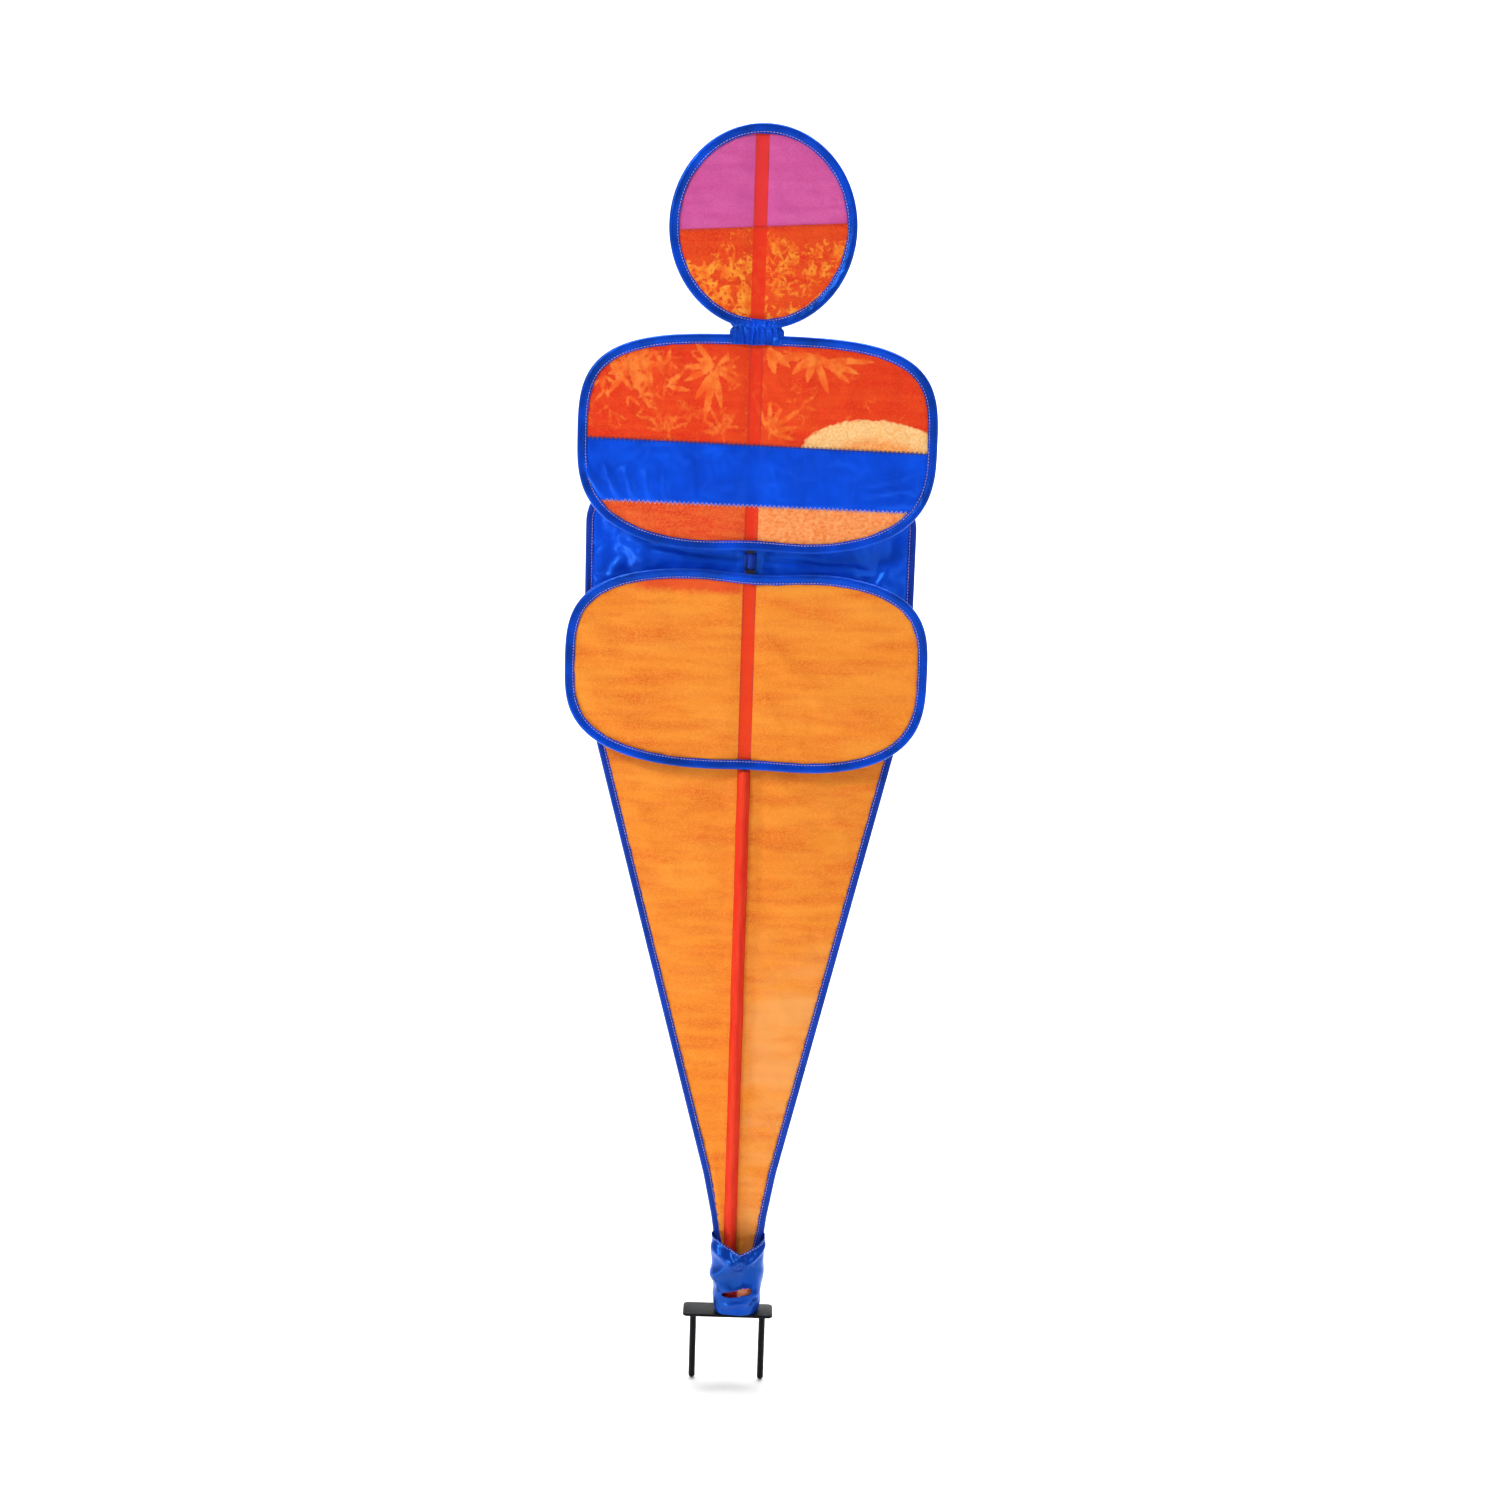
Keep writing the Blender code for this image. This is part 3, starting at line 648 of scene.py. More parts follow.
def printed(name, ground, streak, speck, streak_size=0.010):
    """Printed polyester: a ground colour, drawn-out streaks and a fine speckle, in a plain weave whose
    pattern carries a little painted shade.
    """
    material, tree, shader, place = polyester(name)
    streaks = mottle(tree, stretched(tree, place, x=7), streak_size, 0.40, 0.72)
    colour = mix_colour(tree, streaks, ground, streak)
    clouds = mottle(tree, stretched(tree, place, x=4), 0.016, 0.42, 0.8)
    colour = mix_colour(tree, math_node(tree, "MULTIPLY", clouds, 0.45), colour, speck)
    specks = mottle(tree, stretched(tree, place, x=1.4), 0.0015, 0.40, 0.70, 2.0)
    colour = mix_colour(tree, math_node(tree, "MULTIPLY", specks, 0.55), colour, speck)
    # The weave's pattern darkens the colour a little towards dark brown: painted shade between the threads.
    shade = math_node(tree, "MULTIPLY", weave(tree, place, WEAVE_THREAD), 0.12)
    return material, tree, shader, place, mix_colour(tree, shade, colour, paint(120, 40, 20))


def with_stripe(made, strength=0.92):
    """Adds the pole sleeve's red tape, where it shows through the cloth."""
    material, tree, shader, place, colour = made
    off = math_node(tree, "ABSOLUTE", axes_of(tree, place)["X"])
    tape = ramp(tree, off, STRIPE / 2 + STRIPE_BLUR, STRIPE / 2 - STRIPE_BLUR)
    mask = math_node(tree, "MULTIPLY", tape, strength)
    colour_with(tree, shader, mix_colour(tree, mask, colour, RED_TAPE))
    return material


def pink_print():
    return with_stripe(
        printed("pink_print", paint(212, 88, 158), paint(222, 104, 172), paint(196, 74, 150))
    )


def leaf_colour(made, dark, bright):
    """Paler leaves printed over a ground, from the sheet's leaf attribute, with ragged edges."""
    material, tree, shader, place, colour = made
    leaf = shader_node(tree, "Attribute", attribute_name="leaf").outputs["Fac"]
    ragged = mottle(tree, place, 0.0035, 0.2, 0.8)
    edge = math_node(tree, "MULTIPLY_ADD", ragged, 0.5, math_node(tree, "SUBTRACT", leaf, 0.25))
    tone = mix_colour(tree, mottle(tree, place, 0.010, 0.4, 0.65), dark, bright)
    shown = math_node(tree, "MULTIPLY", ramp(tree, edge, 0.3, 0.8), 0.9)
    return material, tree, shader, place, mix_colour(tree, shown, colour, tone)


def head_leaf_print():
    made = printed("head_leaf_print", paint(222, 50, 20), paint(232, 72, 24), paint(244, 100, 36), 0.006)
    return with_stripe(leaf_colour(made, paint(240, 108, 30), paint(252, 166, 56)))


MOUND_MIDDLE = (0.125, 0.885)
MOUND_REACH = 0.082
MOUND_LEAN = 0.08
MOUND_FLATNESS = 1.75


def bust_leaf_print():
    """Leaves over red, and at the right a pale mound, twice as wide as it is high."""
    made = printed("bust_leaf_print", paint(226, 46, 20), paint(234, 66, 24), paint(240, 84, 30), 0.006)
    material, tree, shader, place, colour = leaf_colour(made, paint(238, 96, 32), paint(250, 136, 56))
    axes = axes_of(tree, place)
    across = math_node(tree, "SUBTRACT", axes["X"], MOUND_MIDDLE[0])
    up = math_node(tree, "SUBTRACT", axes["Z"], MOUND_MIDDLE[1])
    leaning = math_node(tree, "MULTIPLY_ADD", across, MOUND_LEAN, up)
    wide = math_node(tree, "MULTIPLY", leaning, MOUND_FLATNESS)
    squares = math_node(tree, "MULTIPLY_ADD", across, across, math_node(tree, "MULTIPLY", wide, wide))
    ragged = mottle(tree, place, 0.006, 0.2, 0.8)
    reach = math_node(tree, "MULTIPLY_ADD", ragged, 0.006, math_node(tree, "SQRT", squares))
    grains = mottle(tree, place, 0.0022, 0.35, 0.65)
    mound = mix_colour(tree, grains, paint(240, 142, 66), paint(250, 178, 108))
    rim = mix_colour(tree, grains, paint(244, 178, 102), paint(252, 208, 148))
    inner = ramp(tree, reach, 0.55 * MOUND_REACH, 0.75 * MOUND_REACH)
    sand = mix_colour(tree, inner, mound, rim)
    shown = ramp(tree, reach, MOUND_REACH + 0.004, MOUND_REACH + 0.001)
    colour = mix_colour(tree, shown, colour, sand)
    return with_stripe((material, tree, shader, place, colour), strength=0.75)


def bust_lower_print():
    """Red left of the pole and sand right of it, both speckled."""
    made = printed("bust_lower_print", paint(226, 58, 28), paint(234, 92, 38), paint(246, 128, 60), 0.004)
    material, tree, shader, place, colour = made
    grains = mottle(tree, stretched(tree, place, x=1.4), 0.0024, 0.35, 0.65)
    sand = mix_colour(tree, grains, paint(238, 124, 58), paint(251, 168, 104))
    right = ramp(tree, axes_of(tree, place)["X"], 0.002, 0.004)
    return with_stripe((material, tree, shader, place, mix_colour(tree, right, colour, sand)))


def sand_print(name):
    return printed(name, paint(241, 137, 40), paint(226, 104, 30), paint(252, 166, 64))


def hip_print():
    """Sand, with a ragged red strip of the next repeat left along the top at the left."""
    material, tree, shader, place, colour = sand_print("hip_sand_print")
    axes = axes_of(tree, place)
    ragged = math_node(tree, "MULTIPLY", mottle(tree, place, 0.004, 0.2, 0.8), 0.006)
    height = math_node(tree, "ADD", axes["Z"], ragged)
    slope = math_node(tree, "MULTIPLY_ADD", axes["X"], 0.03, height)
    top = ramp(tree, slope, 0.7580, 0.7650)
    ends = ramp(tree, axes["X"], -0.004, -0.010), ramp(tree, axes["X"], -0.125, -0.100)
    left = math_node(tree, "MULTIPLY", *ends)
    red = math_node(tree, "MULTIPLY", math_node(tree, "MULTIPLY", top, left), 0.8)
    return with_stripe((material, tree, shader, place, mix_colour(tree, red, colour, paint(226, 66, 34))))


def cut_outline(outline, height, slope, keep_above):
    """The part of an outline above or below a sloping line, with evenly spaced points."""
    kept = []
    sign = 1 if keep_above else -1
    over = [sign * (p.y - height - slope * p.x) for p in outline]
    for i, here in enumerate(outline):
        if over[i - 1] * over[i] < 0:
            share = over[i - 1] / (over[i - 1] - over[i])
            kept.append(outline[i - 1].lerp(here, share))
        if over[i] >= 0:
            kept.append(here)
    return evenly(kept, 0.7 * CELL)


def sheet_mesh(name, outline, lift, cell):
    """An even triangle mesh inside an outline of (x, z), at the y that lift gives for a point."""
    edge = np.array([tuple(p) for p in outline])
    low, high = edge.min(axis=0), edge.max(axis=0)
    rows = np.arange(low[1], high[1], cell * math.sin(math.radians(60)))
    across = np.arange(low[0], high[0], cell)
    grid = np.array([(x + cell / 2 * (row % 2), z) for row, z in enumerate(rows) for x in across])
    crossings = np.zeros(len(grid), int)
    near = np.full(len(grid), np.inf)
    for (ax, az), (bx, bz) in zip(edge, np.roll(edge, -1, axis=0)):
        spans = (grid[:, 1] < az) != (grid[:, 1] < bz)
        at = ax + (grid[:, 1] - az) * (bx - ax) / ((bz - az) or 1e-12)
        crossings += spans & (grid[:, 0] < at)
        near = np.minimum(near, np.hypot(grid[:, 0] - ax, grid[:, 1] - az))
    inner = grid[(crossings % 2 == 1) & (near > 0.6 * cell)]
    points = [Vector(p) for p in np.vstack((edge, inner)).tolist()]
    rim = [(i, (i + 1) % len(edge)) for i in range(len(edge))]
    verts, _, faces = delaunay_2d_cdt(points, rim, [], 1, 1e-7)[:3]
    mesh = mesh_from(name, [(p.x, lift(p), p.y) for p in verts], [tuple(f) for f in faces])
    face_front(mesh)
    return mesh


def face_front(mesh):
    """Turns a sheet's faces, all the same way round, towards the front."""
    if mesh.polygons[0].normal.y > 0:
        mesh.flip_normals()


def settle(made, slack, held, reach):
    """Lets a sheet that is cut a little too large find its own folds between what holds it."""
    mesh = made.data
    rest = np.array([v.co for v in mesh.vertices])
    edge_use = {}
    for face in mesh.polygons:
        for key in face.edge_keys:
            edge_use[key] = edge_use.get(key, 0) + 1
    rim = {v for key, uses in edge_use.items() if uses == 1 for v in key}
    sewn = KDTree(len(rim))
    for index in rim:
        sewn.insert(mesh.vertices[index].co, index)
    sewn.balance()
    pinned = {v.index for v in mesh.vertices if held(v.co) or sewn.find(v.co)[2] < SEWN_WIDTH}
    group = made.vertex_groups.new(name="held")
    group.add(sorted(pinned), 1.0, "REPLACE")
    for vertex in mesh.vertices:
        if vertex.index not in pinned:
            vertex.co.y += 0.0005 * noise.noise(vertex.co * 38) + 0.0002 * noise.noise(vertex.co * 110)
    cloth = made.modifiers.new("cloth", "CLOTH")
    cloth.settings.vertex_group_mass = "held"
    cloth.settings.shrink_min = -slack
    cloth.settings.quality = 6
    cloth.settings.mass = 0.1
    cloth.settings.tension_stiffness = 20
    cloth.settings.compression_stiffness = 20
    cloth.settings.bending_stiffness = 0.02
    cloth.settings.effector_weights.gravity = 0.15
    cloth.collision_settings.use_collision = False
    for frame_number in range(1, SETTLE_FRAMES + 1):
        bpy.context.scene.frame_set(frame_number)
    settled = made.evaluated_get(bpy.context.evaluated_depsgraph_get()).data
    moved = np.array([v.co for v in settled.vertices])
    made.modifiers.remove(cloth)
    moved[:, 1] = rest[:, 1] + np.clip(moved[:, 1] - rest[:, 1], -reach, reach)
    mesh.vertices.foreach_set("co", moved.ravel())
    bpy.context.scene.frame_set(1)
    made.vertex_groups.clear()
    mesh.update()
    mesh.shade_smooth()


def outline_size(outline):
    """An outline's width and height, and the area inside it."""
    xs, zs = [p.x for p in outline], [p.y for p in outline]
    area = sum(a.x * b.y - b.x * a.y for a, b in zip(outline, outline[1:] + outline[:1])) / 2
    return (max(xs) - min(xs), max(zs) - min(zs)), area


def make_sheet(name, outline, lift, material, slot, body, node, slack, held, reach, cell=CELL):
    sheet = new_piece(name, sheet_mesh(name, outline, lift, cell), material)
    settle(sheet, slack, held, reach)
    thicken(sheet, CLOTH, 0)
    finish_piece(sheet, body, slot, node)
    flat, area = outline_size(outline)
    return sheet


def hoop_lift(hoop, step=0.0):
    """A hoop's cloth lies in the hoop's plane, drawn in a little where it is sewn to the sleeve."""

    def lift(point):
        return hoop.layer + PULL_TO_POLE * math.exp(-((point.x / PULL_WIDTH) ** 2)) - step

    return lift


def on_sleeve(place):
    return abs(place.x) < STRIPE / 2


def leaflet(points, root, angle, length, width):
    """How far inside a lance-shaped leaflet each point is."""
    along = np.array((math.cos(angle), math.sin(angle)))
    share = (points - root) @ along / length
    aside = np.abs((points - root) @ np.array((-along[1], along[0])))
    half = width / 2 * np.sin(np.pi * np.clip(share, 0, 1)) ** 0.8
    return np.where((share > 0) & (share < 1), half - aside, -width)


def print_leaves(sheet, leaves):
    """Stores how much of a leaf each point of a sheet has, from 0 to 1. A leaf is its root, the
    first and last direction of its leaflets in degrees, their number, length, width and strength."""
    points = np.array([(v.co.x, v.co.z) for v in sheet.data.vertices])
    shown = np.zeros(len(points))
    for root, first, last, count, length, width, strength in leaves:
        for i in range(count):
            angle = math.radians(first + (last - first) * i / max(count - 1, 1))
            reach = length * (0.8 + 0.2 * math.sin(2.1 * i + first))
            inside = leaflet(points, np.array(root), angle, reach, width)
            shown = np.maximum(shown, strength * np.clip(0.5 + inside / 0.0016, 0, 1))
    leaf = sheet.data.attributes.new("leaf", "FLOAT", "POINT")
    leaf.data.foreach_set("value", shown.astype(np.float32))


def scattered_leaves(seed, count, box, length, width, strength):
    """Single leaflets strewn over a rectangle of (low x, low z, high x, high z)."""
    chance = random.Random(seed)
    leaves = []
    for _ in range(count):
        root = (chance.uniform(box[0], box[2]), chance.uniform(box[1], box[3]))
        turn = chance.uniform(0, 360)
        size = chance.uniform(0.7, 1.3)
        leaves.append((root, turn, turn + 50, 2, length * size, width * size, strength))
    return leaves


HEAD_SEAM = (1.112, 0.065)
head_cloth = inset(HEAD.edge, PANEL_FROM_EDGE)
make_sheet(
    "head_pink_cloth", cut_outline(head_cloth, HEAD_SEAM[0] - SEAM_LAP, HEAD_SEAM[1], True),
    hoop_lift(HEAD), pink_print(), "pink_print", "head", "head_upper_panel",
    PANEL_SLACK, on_sleeve, PANEL_REACH,
)
head_leaves = make_sheet(
    "head_leaf_cloth", cut_outline(head_cloth, *HEAD_SEAM, False), hoop_lift(HEAD, LAP_STEP),
    head_leaf_print(), "leaf_print", "head", "head_lower_panel",
    PANEL_SLACK, on_sleeve, PANEL_REACH, HEAD_LEAF_CELL,
)
print_leaves(
    head_leaves,
    scattered_leaves(3, 120, (-0.075, 1.022, 0.0, 1.080), 0.013, 0.0025, 1.0)
    + scattered_leaves(4, 200, (-0.01, 1.022, 0.085, 1.098), 0.010, 0.0022, 0.8)
    + scattered_leaves(8, 40, (-0.04, 1.07, 0.085, 1.108), 0.010, 0.0020, 0.7),
)

BAND_BOTTOM, BAND_TOP = (0.8455, -0.014), (0.9045, -0.020)
bust_cloth = inset(BUST.edge, PANEL_FROM_EDGE)
bust_leaves = make_sheet(
    "bust_leaf_cloth", cut_outline(bust_cloth, BAND_TOP[0] - SEAM_LAP, BAND_TOP[1], True),
    hoop_lift(BUST), bust_leaf_print(), "leaf_print", "bust", "bust_upper_panel",
    PANEL_SLACK, on_sleeve, PANEL_REACH, BUST_LEAF_CELL,
)
print_leaves(
    bust_leaves,
    [
        ((-0.123, 0.974), -60, 230, 9, 0.034, 0.0058, 1.0),
        ((-0.040, 0.978), 128, 205, 4, 0.036, 0.0058, 0.95),
        ((-0.040, 0.976), 238, 282, 3, 0.052, 0.0072, 1.0),
        ((-0.040, 0.976), -30, 50, 3, 0.032, 0.0052, 0.85),
        ((0.012, 0.998), -75, -40, 2, 0.030, 0.0085, 1.0),
        ((0.056, 0.994), 190, 325, 5, 0.042, 0.0076, 1.0),
        ((0.066, 0.988), -40, 0, 3, 0.050, 0.0068, 0.9),
        ((-0.088, 0.916), 20, 170, 6, 0.030, 0.0042, 0.62),
        ((0.014, 0.918), -15, 115, 6, 0.042, 0.0056, 0.75),
        ((-0.030, 0.915), 60, 175, 5, 0.034, 0.0050, 0.6),
    ]
    + scattered_leaves(5, 80, (-0.16, 0.91, 0.05, 1.0), 0.018, 0.0034, 0.55)
    + scattered_leaves(6, 24, (-0.15, 0.945, -0.085, 1.0), 0.022, 0.0044, 0.8)
    + scattered_leaves(7, 26, (0.03, 0.91, 0.16, 1.0), 0.012, 0.0028, 0.5),
)
bust_low_cloth = cut_outline(bust_cloth, BAND_BOTTOM[0] + SEAM_LAP, BAND_BOTTOM[1], False)
make_sheet(
    "bust_lower_cloth", bust_low_cloth, hoop_lift(BUST), bust_lower_print(), "sand_print",
    "bust", "bust_lower_panel", PANEL_SLACK, on_sleeve, PANEL_REACH,
)
make_sheet(
    "hip_cloth", inset(HIPS.edge, PANEL_FROM_EDGE), hoop_lift(HIPS), hip_print(), "sand_print",
    "hips", "hip_panel", 0.75 * PANEL_SLACK, on_sleeve, PANEL_REACH, PLAIN_CELL,
)

# ---------------------------------------------------------------------------
# The bust's band. A strip of royal satin laid over the prints and overlocked down along both
# edges. It is cut a little full, and is pulled into slanting folds at its lower left corner.

BAND_FULLNESS = 0.006


def band_outline():
    return cut_outline(cut_outline(bust_cloth, *BAND_BOTTOM, True), *BAND_TOP, False)


def fold(point, root, angle, length, width, height):
    """The height of one soft fold that runs from a root at an angle and dies away."""
    along = Vector((math.cos(math.radians(angle)), math.sin(math.radians(angle))))
    off = Vector((point.x, point.y)) - Vector(root)
    share, aside = off.dot(along) / length, off.dot(Vector((-along.y, along.x)))
    if not 0 < share < 1:
        return 0.0
    return height * math.sin(math.pi * share) ** 0.7 * math.exp(-((aside / width) ** 2))


def band_lift(point):
    """Folds fan out of the lower left corner, and short ones come in from the right edge."""
    forward = 0.0
    for i in range(6):
        root = (-0.158 + 0.015 * i, 0.846)
        forward += fold(point, root, 128 - 6 * i, 0.050 - 0.004 * i, 0.0028, 0.0032 - 0.0003 * i)
    for i in range(3):
        forward += fold(point, (0.168, 0.853 + 0.016 * i), 184 + 5 * i, 0.06, 0.0028, 0.0014)
    for i in range(7):
        root = (-0.055 + 0.021 * i, 0.848 + 0.004 * (i % 3))
        forward += fold(point, root, 96 + 9 * (i % 3), 0.045, 0.0020, 0.0004)
    return hoop_lift(BUST, LAP_STEP)(point) - forward


BRIGHT_SATIN = satin_shader("bright_satin", paint(3, 52, 192), paint(9, 80, 240))
make_sheet(
    "bust_satin_band", band_outline(), band_lift, BRIGHT_SATIN, "blue_satin", "bust", "bust_band",
    BAND_FULLNESS, on_sleeve, 0.0035, 0.0028,
)

# ---------------------------------------------------------------------------
# Pole sleeves. A red polyester tape is sewn down along both of its edges, and the pole runs
# through the tunnel under it. The hoops' tapes lie behind their cloth, and the body's in front.

TAPE_REACH = 0.0066
TUNNEL_TOP = 0.0046
SLEEVE_FOOT = 0.062
TUNNEL_SHAPE = 0.8
SEWN_GAP = 0.0005


def tape_material():
    material, tree, shader, place = new_material("red_tape", 0.7, Specular_IOR_Level=0.2)
    fade = mottle(tree, stretched(tree, place, z=6), 0.006)
    colour = mix_colour(tree, fade, paint(226, 44, 22), paint(238, 62, 30))
    ribs = weave(tree, place, 0.0009)
    # The ribs' grooves darken towards deep red: painted shade.
    painted_groove_shade = math_node(tree, "MULTIPLY", ribs, 0.2)
    colour_with(tree, shader, mix_colour(tree, painted_groove_shade, colour, paint(170, 24, 14)))
    bump(tree, shader, ribs, 0.00012)
    return material


RED = tape_material()


def layer_at(x):
    """How far from the pole's axis a layer of cloth lies, where the tape draws it in."""
    return abs(HIPS.layer) - PULL_TO_POLE * math.exp(-((x / PULL_WIDTH) ** 2))


def make_sleeve(name, bottom, top, side, body, node, material=None):
    """side is -1 where the cloth is in front of the pole, and 1 where it is behind it."""
    steps, rows = 24, max(4, round((top - bottom) / 0.004))
    verts = []
    for row in range(rows + 1):
        z = bottom + (top - bottom) * row / rows
        for i in range(steps + 1):
            x = TAPE_REACH * (2 * i / steps - 1)
            sewn_at = layer_at(x) - CLOTH / 2 - SEWN_GAP
            rise = math.cos(math.pi / 2 * x / TAPE_REACH) ** TUNNEL_SHAPE if abs(x) < TAPE_REACH else 0
            slack = 0.0004 * noise.noise(Vector((x * 160, z * 45, side * 3.0)))
            sway = 0.0004 * noise.noise(Vector((z * 30, bottom, 7.0)))
            verts.append((x + sway, side * (sewn_at - (sewn_at + TUNNEL_TOP) * rise + slack * rise), z))
    mesh = mesh_from(name, verts, grid_faces(rows, steps + 1, wraps=False))
    tape = new_piece(name, mesh, material or RED)
    face_front(tape.data)
    if side < 0:
        tape.data.flip_normals()
    thicken(tape, CLOTH, -1)
    finish_piece(tape, body, "blue_satin" if material else "red_tape", node)


for hoop, body in HOOPS:
    low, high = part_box(f"{hoop.name}_pole_sleeve")
    make_sleeve(f"{hoop.name}_sleeve_tape", low.z, high.z, -1, body, f"{hoop.name}_pole_sleeve")
low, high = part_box("leg_pole_sleeve")
make_sleeve("leg_sleeve_tape", SLEEVE_FOOT, high.z + 0.0025, 1, "body", "leg_pole_sleeve")
low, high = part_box("waist_pole_sleeve")
make_sleeve("waist_sleeve_tape", low.z - 0.0015, high.z + 0.002, 1, "body", "waist_pole_sleeve", TAPE_SATIN)

# ---------------------------------------------------------------------------
# Body. One long cloth hangs behind the pole: satin over the waist, and printed sand down the
# legs, tapering to the ankle. A wire in its bound edge bows it backwards at the sides.

BOW = 0.016
LEG_SEAM = 0.640
BODY_BINDING = 0.0080
BODY_FOLD_DEPTH = 0.0020
ANKLE = 0.0861
HIP_LINE = 0.655
BODY_FOOT = 0.062
CUFF_SHIFT = 0.009
LEG_CELL = 0.0046
WAIST_CELL = 0.0040
WAIST_SLACK = 0.02
WAIST_REACH = 0.0045

body_low, body_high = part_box("body_edge_binding")
BODY_HALF = (body_high.x - body_low.x) / 2
CORNER = 0.045


def bowed_layer(point):
    return abs(HIPS.layer) + BOW * (point.x / BODY_HALF) ** 2


def leg_half_width(z):
    """Straight down the leg, a little flared above the ankle, and drawn in inside the cuff."""
    heights = (0.012, 0.060, ANKLE, 0.104, 0.150, HIP_LINE)
    halves = (0.013, 0.021, 0.0268, 0.0292, 0.0380, BODY_HALF)
    return float(np.interp(z, heights, halves))


def leg_middle(z):
    """The legs' middle line drifts to the right towards the ankle."""
    return float(np.interp(z, (ANKLE, HIP_LINE), (CUFF_SHIFT, 0.0)))


def body_side(side, bottom):
    """One side of the body's edge, from a height near the ankle up to the top of its corner."""
    heights = np.linspace(bottom, HIP_LINE, 230)
    points = [Vector((leg_middle(z) + side * leg_half_width(z), z)) for z in heights]
    corner = arc((BODY_HALF - CORNER, body_high.z - CORNER), CORNER, 0, 90, 30)
    straight = np.linspace(HIP_LINE + 0.003, body_high.z - CORNER, 60)
    points += [Vector((side * BODY_HALF, z)) for z in straight]
    return points + [Vector((side * x, z)) for x, z in corner[1:]]


def body_path(bottom):
    """The body's edge from its right ankle over the top to its left ankle."""
    right, left = body_side(1, bottom), body_side(-1, bottom)
    top = np.linspace(right[-1].x, left[-1].x, 120)[1:-1]
    return right + [Vector((x, body_high.z)) for x in top] + left[::-1]


def spread(path, spacing):
    """An open path with its points evenly spaced."""
    at = np.cumsum([0.0] + [(b - a).length for a, b in zip(path, path[1:])])
    wanted = np.linspace(0, at[-1], round(at[-1] / spacing) + 1)
    xs = np.interp(wanted, at, [p.x for p in path])
    zs = np.interp(wanted, at, [p.y for p in path])
    return [Vector((x, z)) for x, z in zip(xs, zs)]


BODY_EDGE = spread(body_path(BODY_FOOT), 0.0026)


def body_lift(point):
    drawn_in = PULL_TO_POLE * math.exp(-((point.x / PULL_WIDTH) ** 2))
    return bowed_layer(point) - drawn_in


def leg_lift(point):
    """Two pleats run up from the ankle, either side of the pole's sleeve."""
    pleats = fold(point, (-0.0085, 0.078), 97, 0.11, 0.0020, 0.0030)
    pleats += fold(point, (0.026, 0.080), 84, 0.09, 0.0030, 0.0020)
    return body_lift(point) - pleats


def waist_lift(point):
    """The waist laps behind the legs' cloth along their seam. Soft hollows hang from the corners,
    and one thin fold runs out from the pole."""
    slack = fold(point, (-0.150, 0.830), -62, 0.17, 0.012, 0.0045)
    slack += fold(point, (0.150, 0.830), 242, 0.17, 0.012, 0.0045)
    slack += fold(point, (0.004, 0.792), -4, 0.13, 0.0026, 0.0030)
    slack += fold(point, (-0.004, 0.790), 172, 0.10, 0.0040, 0.0020)
    lapped = LAP_STEP * math.exp(-(((point.y - LEG_SEAM) / 0.010) ** 2))
    return body_lift(point) + 0.5 * slack + lapped


def leg_print():
    """Sand with a painted pool of light low on the right, and a painted shadow of the hips darkening its
    top.
    """
    material, tree, shader, place, colour = sand_print("leg_sand_print")
    axes = axes_of(tree, place)
    # A paler patch low on the right: painted light.
    low = math_node(tree, "MULTIPLY", ramp(tree, axes["Z"], 0.42, 0.34), ramp(tree, axes["X"], 0.0, 0.02))
    patchy = mottle(tree, stretched(tree, place, x=3), 0.030, 0.35, 0.6)
    pale = math_node(tree, "MULTIPLY", math_node(tree, "MULTIPLY", low, patchy), 0.7)
    colour = mix_colour(tree, pale, colour, paint(240, 165, 92))
    # Darker towards the top, under the hips: a painted shadow of the hips.
    shade = math_node(tree, "MULTIPLY", ramp(tree, axes["Z"], 0.565, 0.60), 0.45)
    colour = mix_colour(tree, shade, colour, paint(196, 92, 32))
    colour_with(tree, shader, colour)
    return material


def leg_side(side):
    """One edge of the legs' cloth, which comes out to the binding's edge inside the cuff."""
    points = []
    for z in np.linspace(0.014, LEG_SEAM, 200):
        inside = PANEL_FROM_EDGE * min(1, max(0, (z - 0.05) / 0.03))
        points.append(Vector((leg_middle(z) + side * (leg_half_width(z) - inside), z)))
    return points


def leg_outline():
    return evenly(leg_side(1) + leg_side(-1)[::-1], 0.7 * CELL)


def waist_outline():
    whole = evenly(inset(evenly(body_path(0.10), 0.003), PANEL_FROM_EDGE), 0.003)
    return cut_outline(whole, LEG_SEAM - SEAM_LAP, 0, True)


def on_tape(place):
    return abs(place.x) < TAPE_REACH + 0.001


make_sheet(
    "leg_cloth", leg_outline(), leg_lift, leg_print(), "sand_print", "body", "leg_panel",
    PANEL_SLACK, on_tape, PANEL_REACH, LEG_CELL,
)
make_sheet(
    "waist_cloth", waist_outline(), waist_lift, BRIGHT_SATIN, "blue_satin", "body", "waist_panel",
    WAIST_SLACK, on_tape, WAIST_REACH, WAIST_CELL,
)
make_binding(
    "body_satin_binding", BODY_EDGE, bowed_layer, False, BODY_BINDING, BODY_FOLD_DEPTH,
    TAPE_SATIN, "body", 31.0, "body_edge_binding",
)
wire_path = [p - n * WIRE_FROM_EDGE for p, n in zip(BODY_EDGE, outwards(BODY_EDGE, False))]
body_wire = round_sweep("body_wire", wire_path, WIRE_RADIUS, bowed_layer, closed=False)
finish_piece(new_piece("body_wire", body_wire, DRAWN_STEEL), "body", "spring_wire", "body_edge_wire")

# ---------------------------------------------------------------------------
# Ankle cuff. A sleeve of royal satin gathers the legs round the stake's socket. Its rim dips in a
# V at the front, its folds run down from the rim's ends, and its slit shows the lining behind.

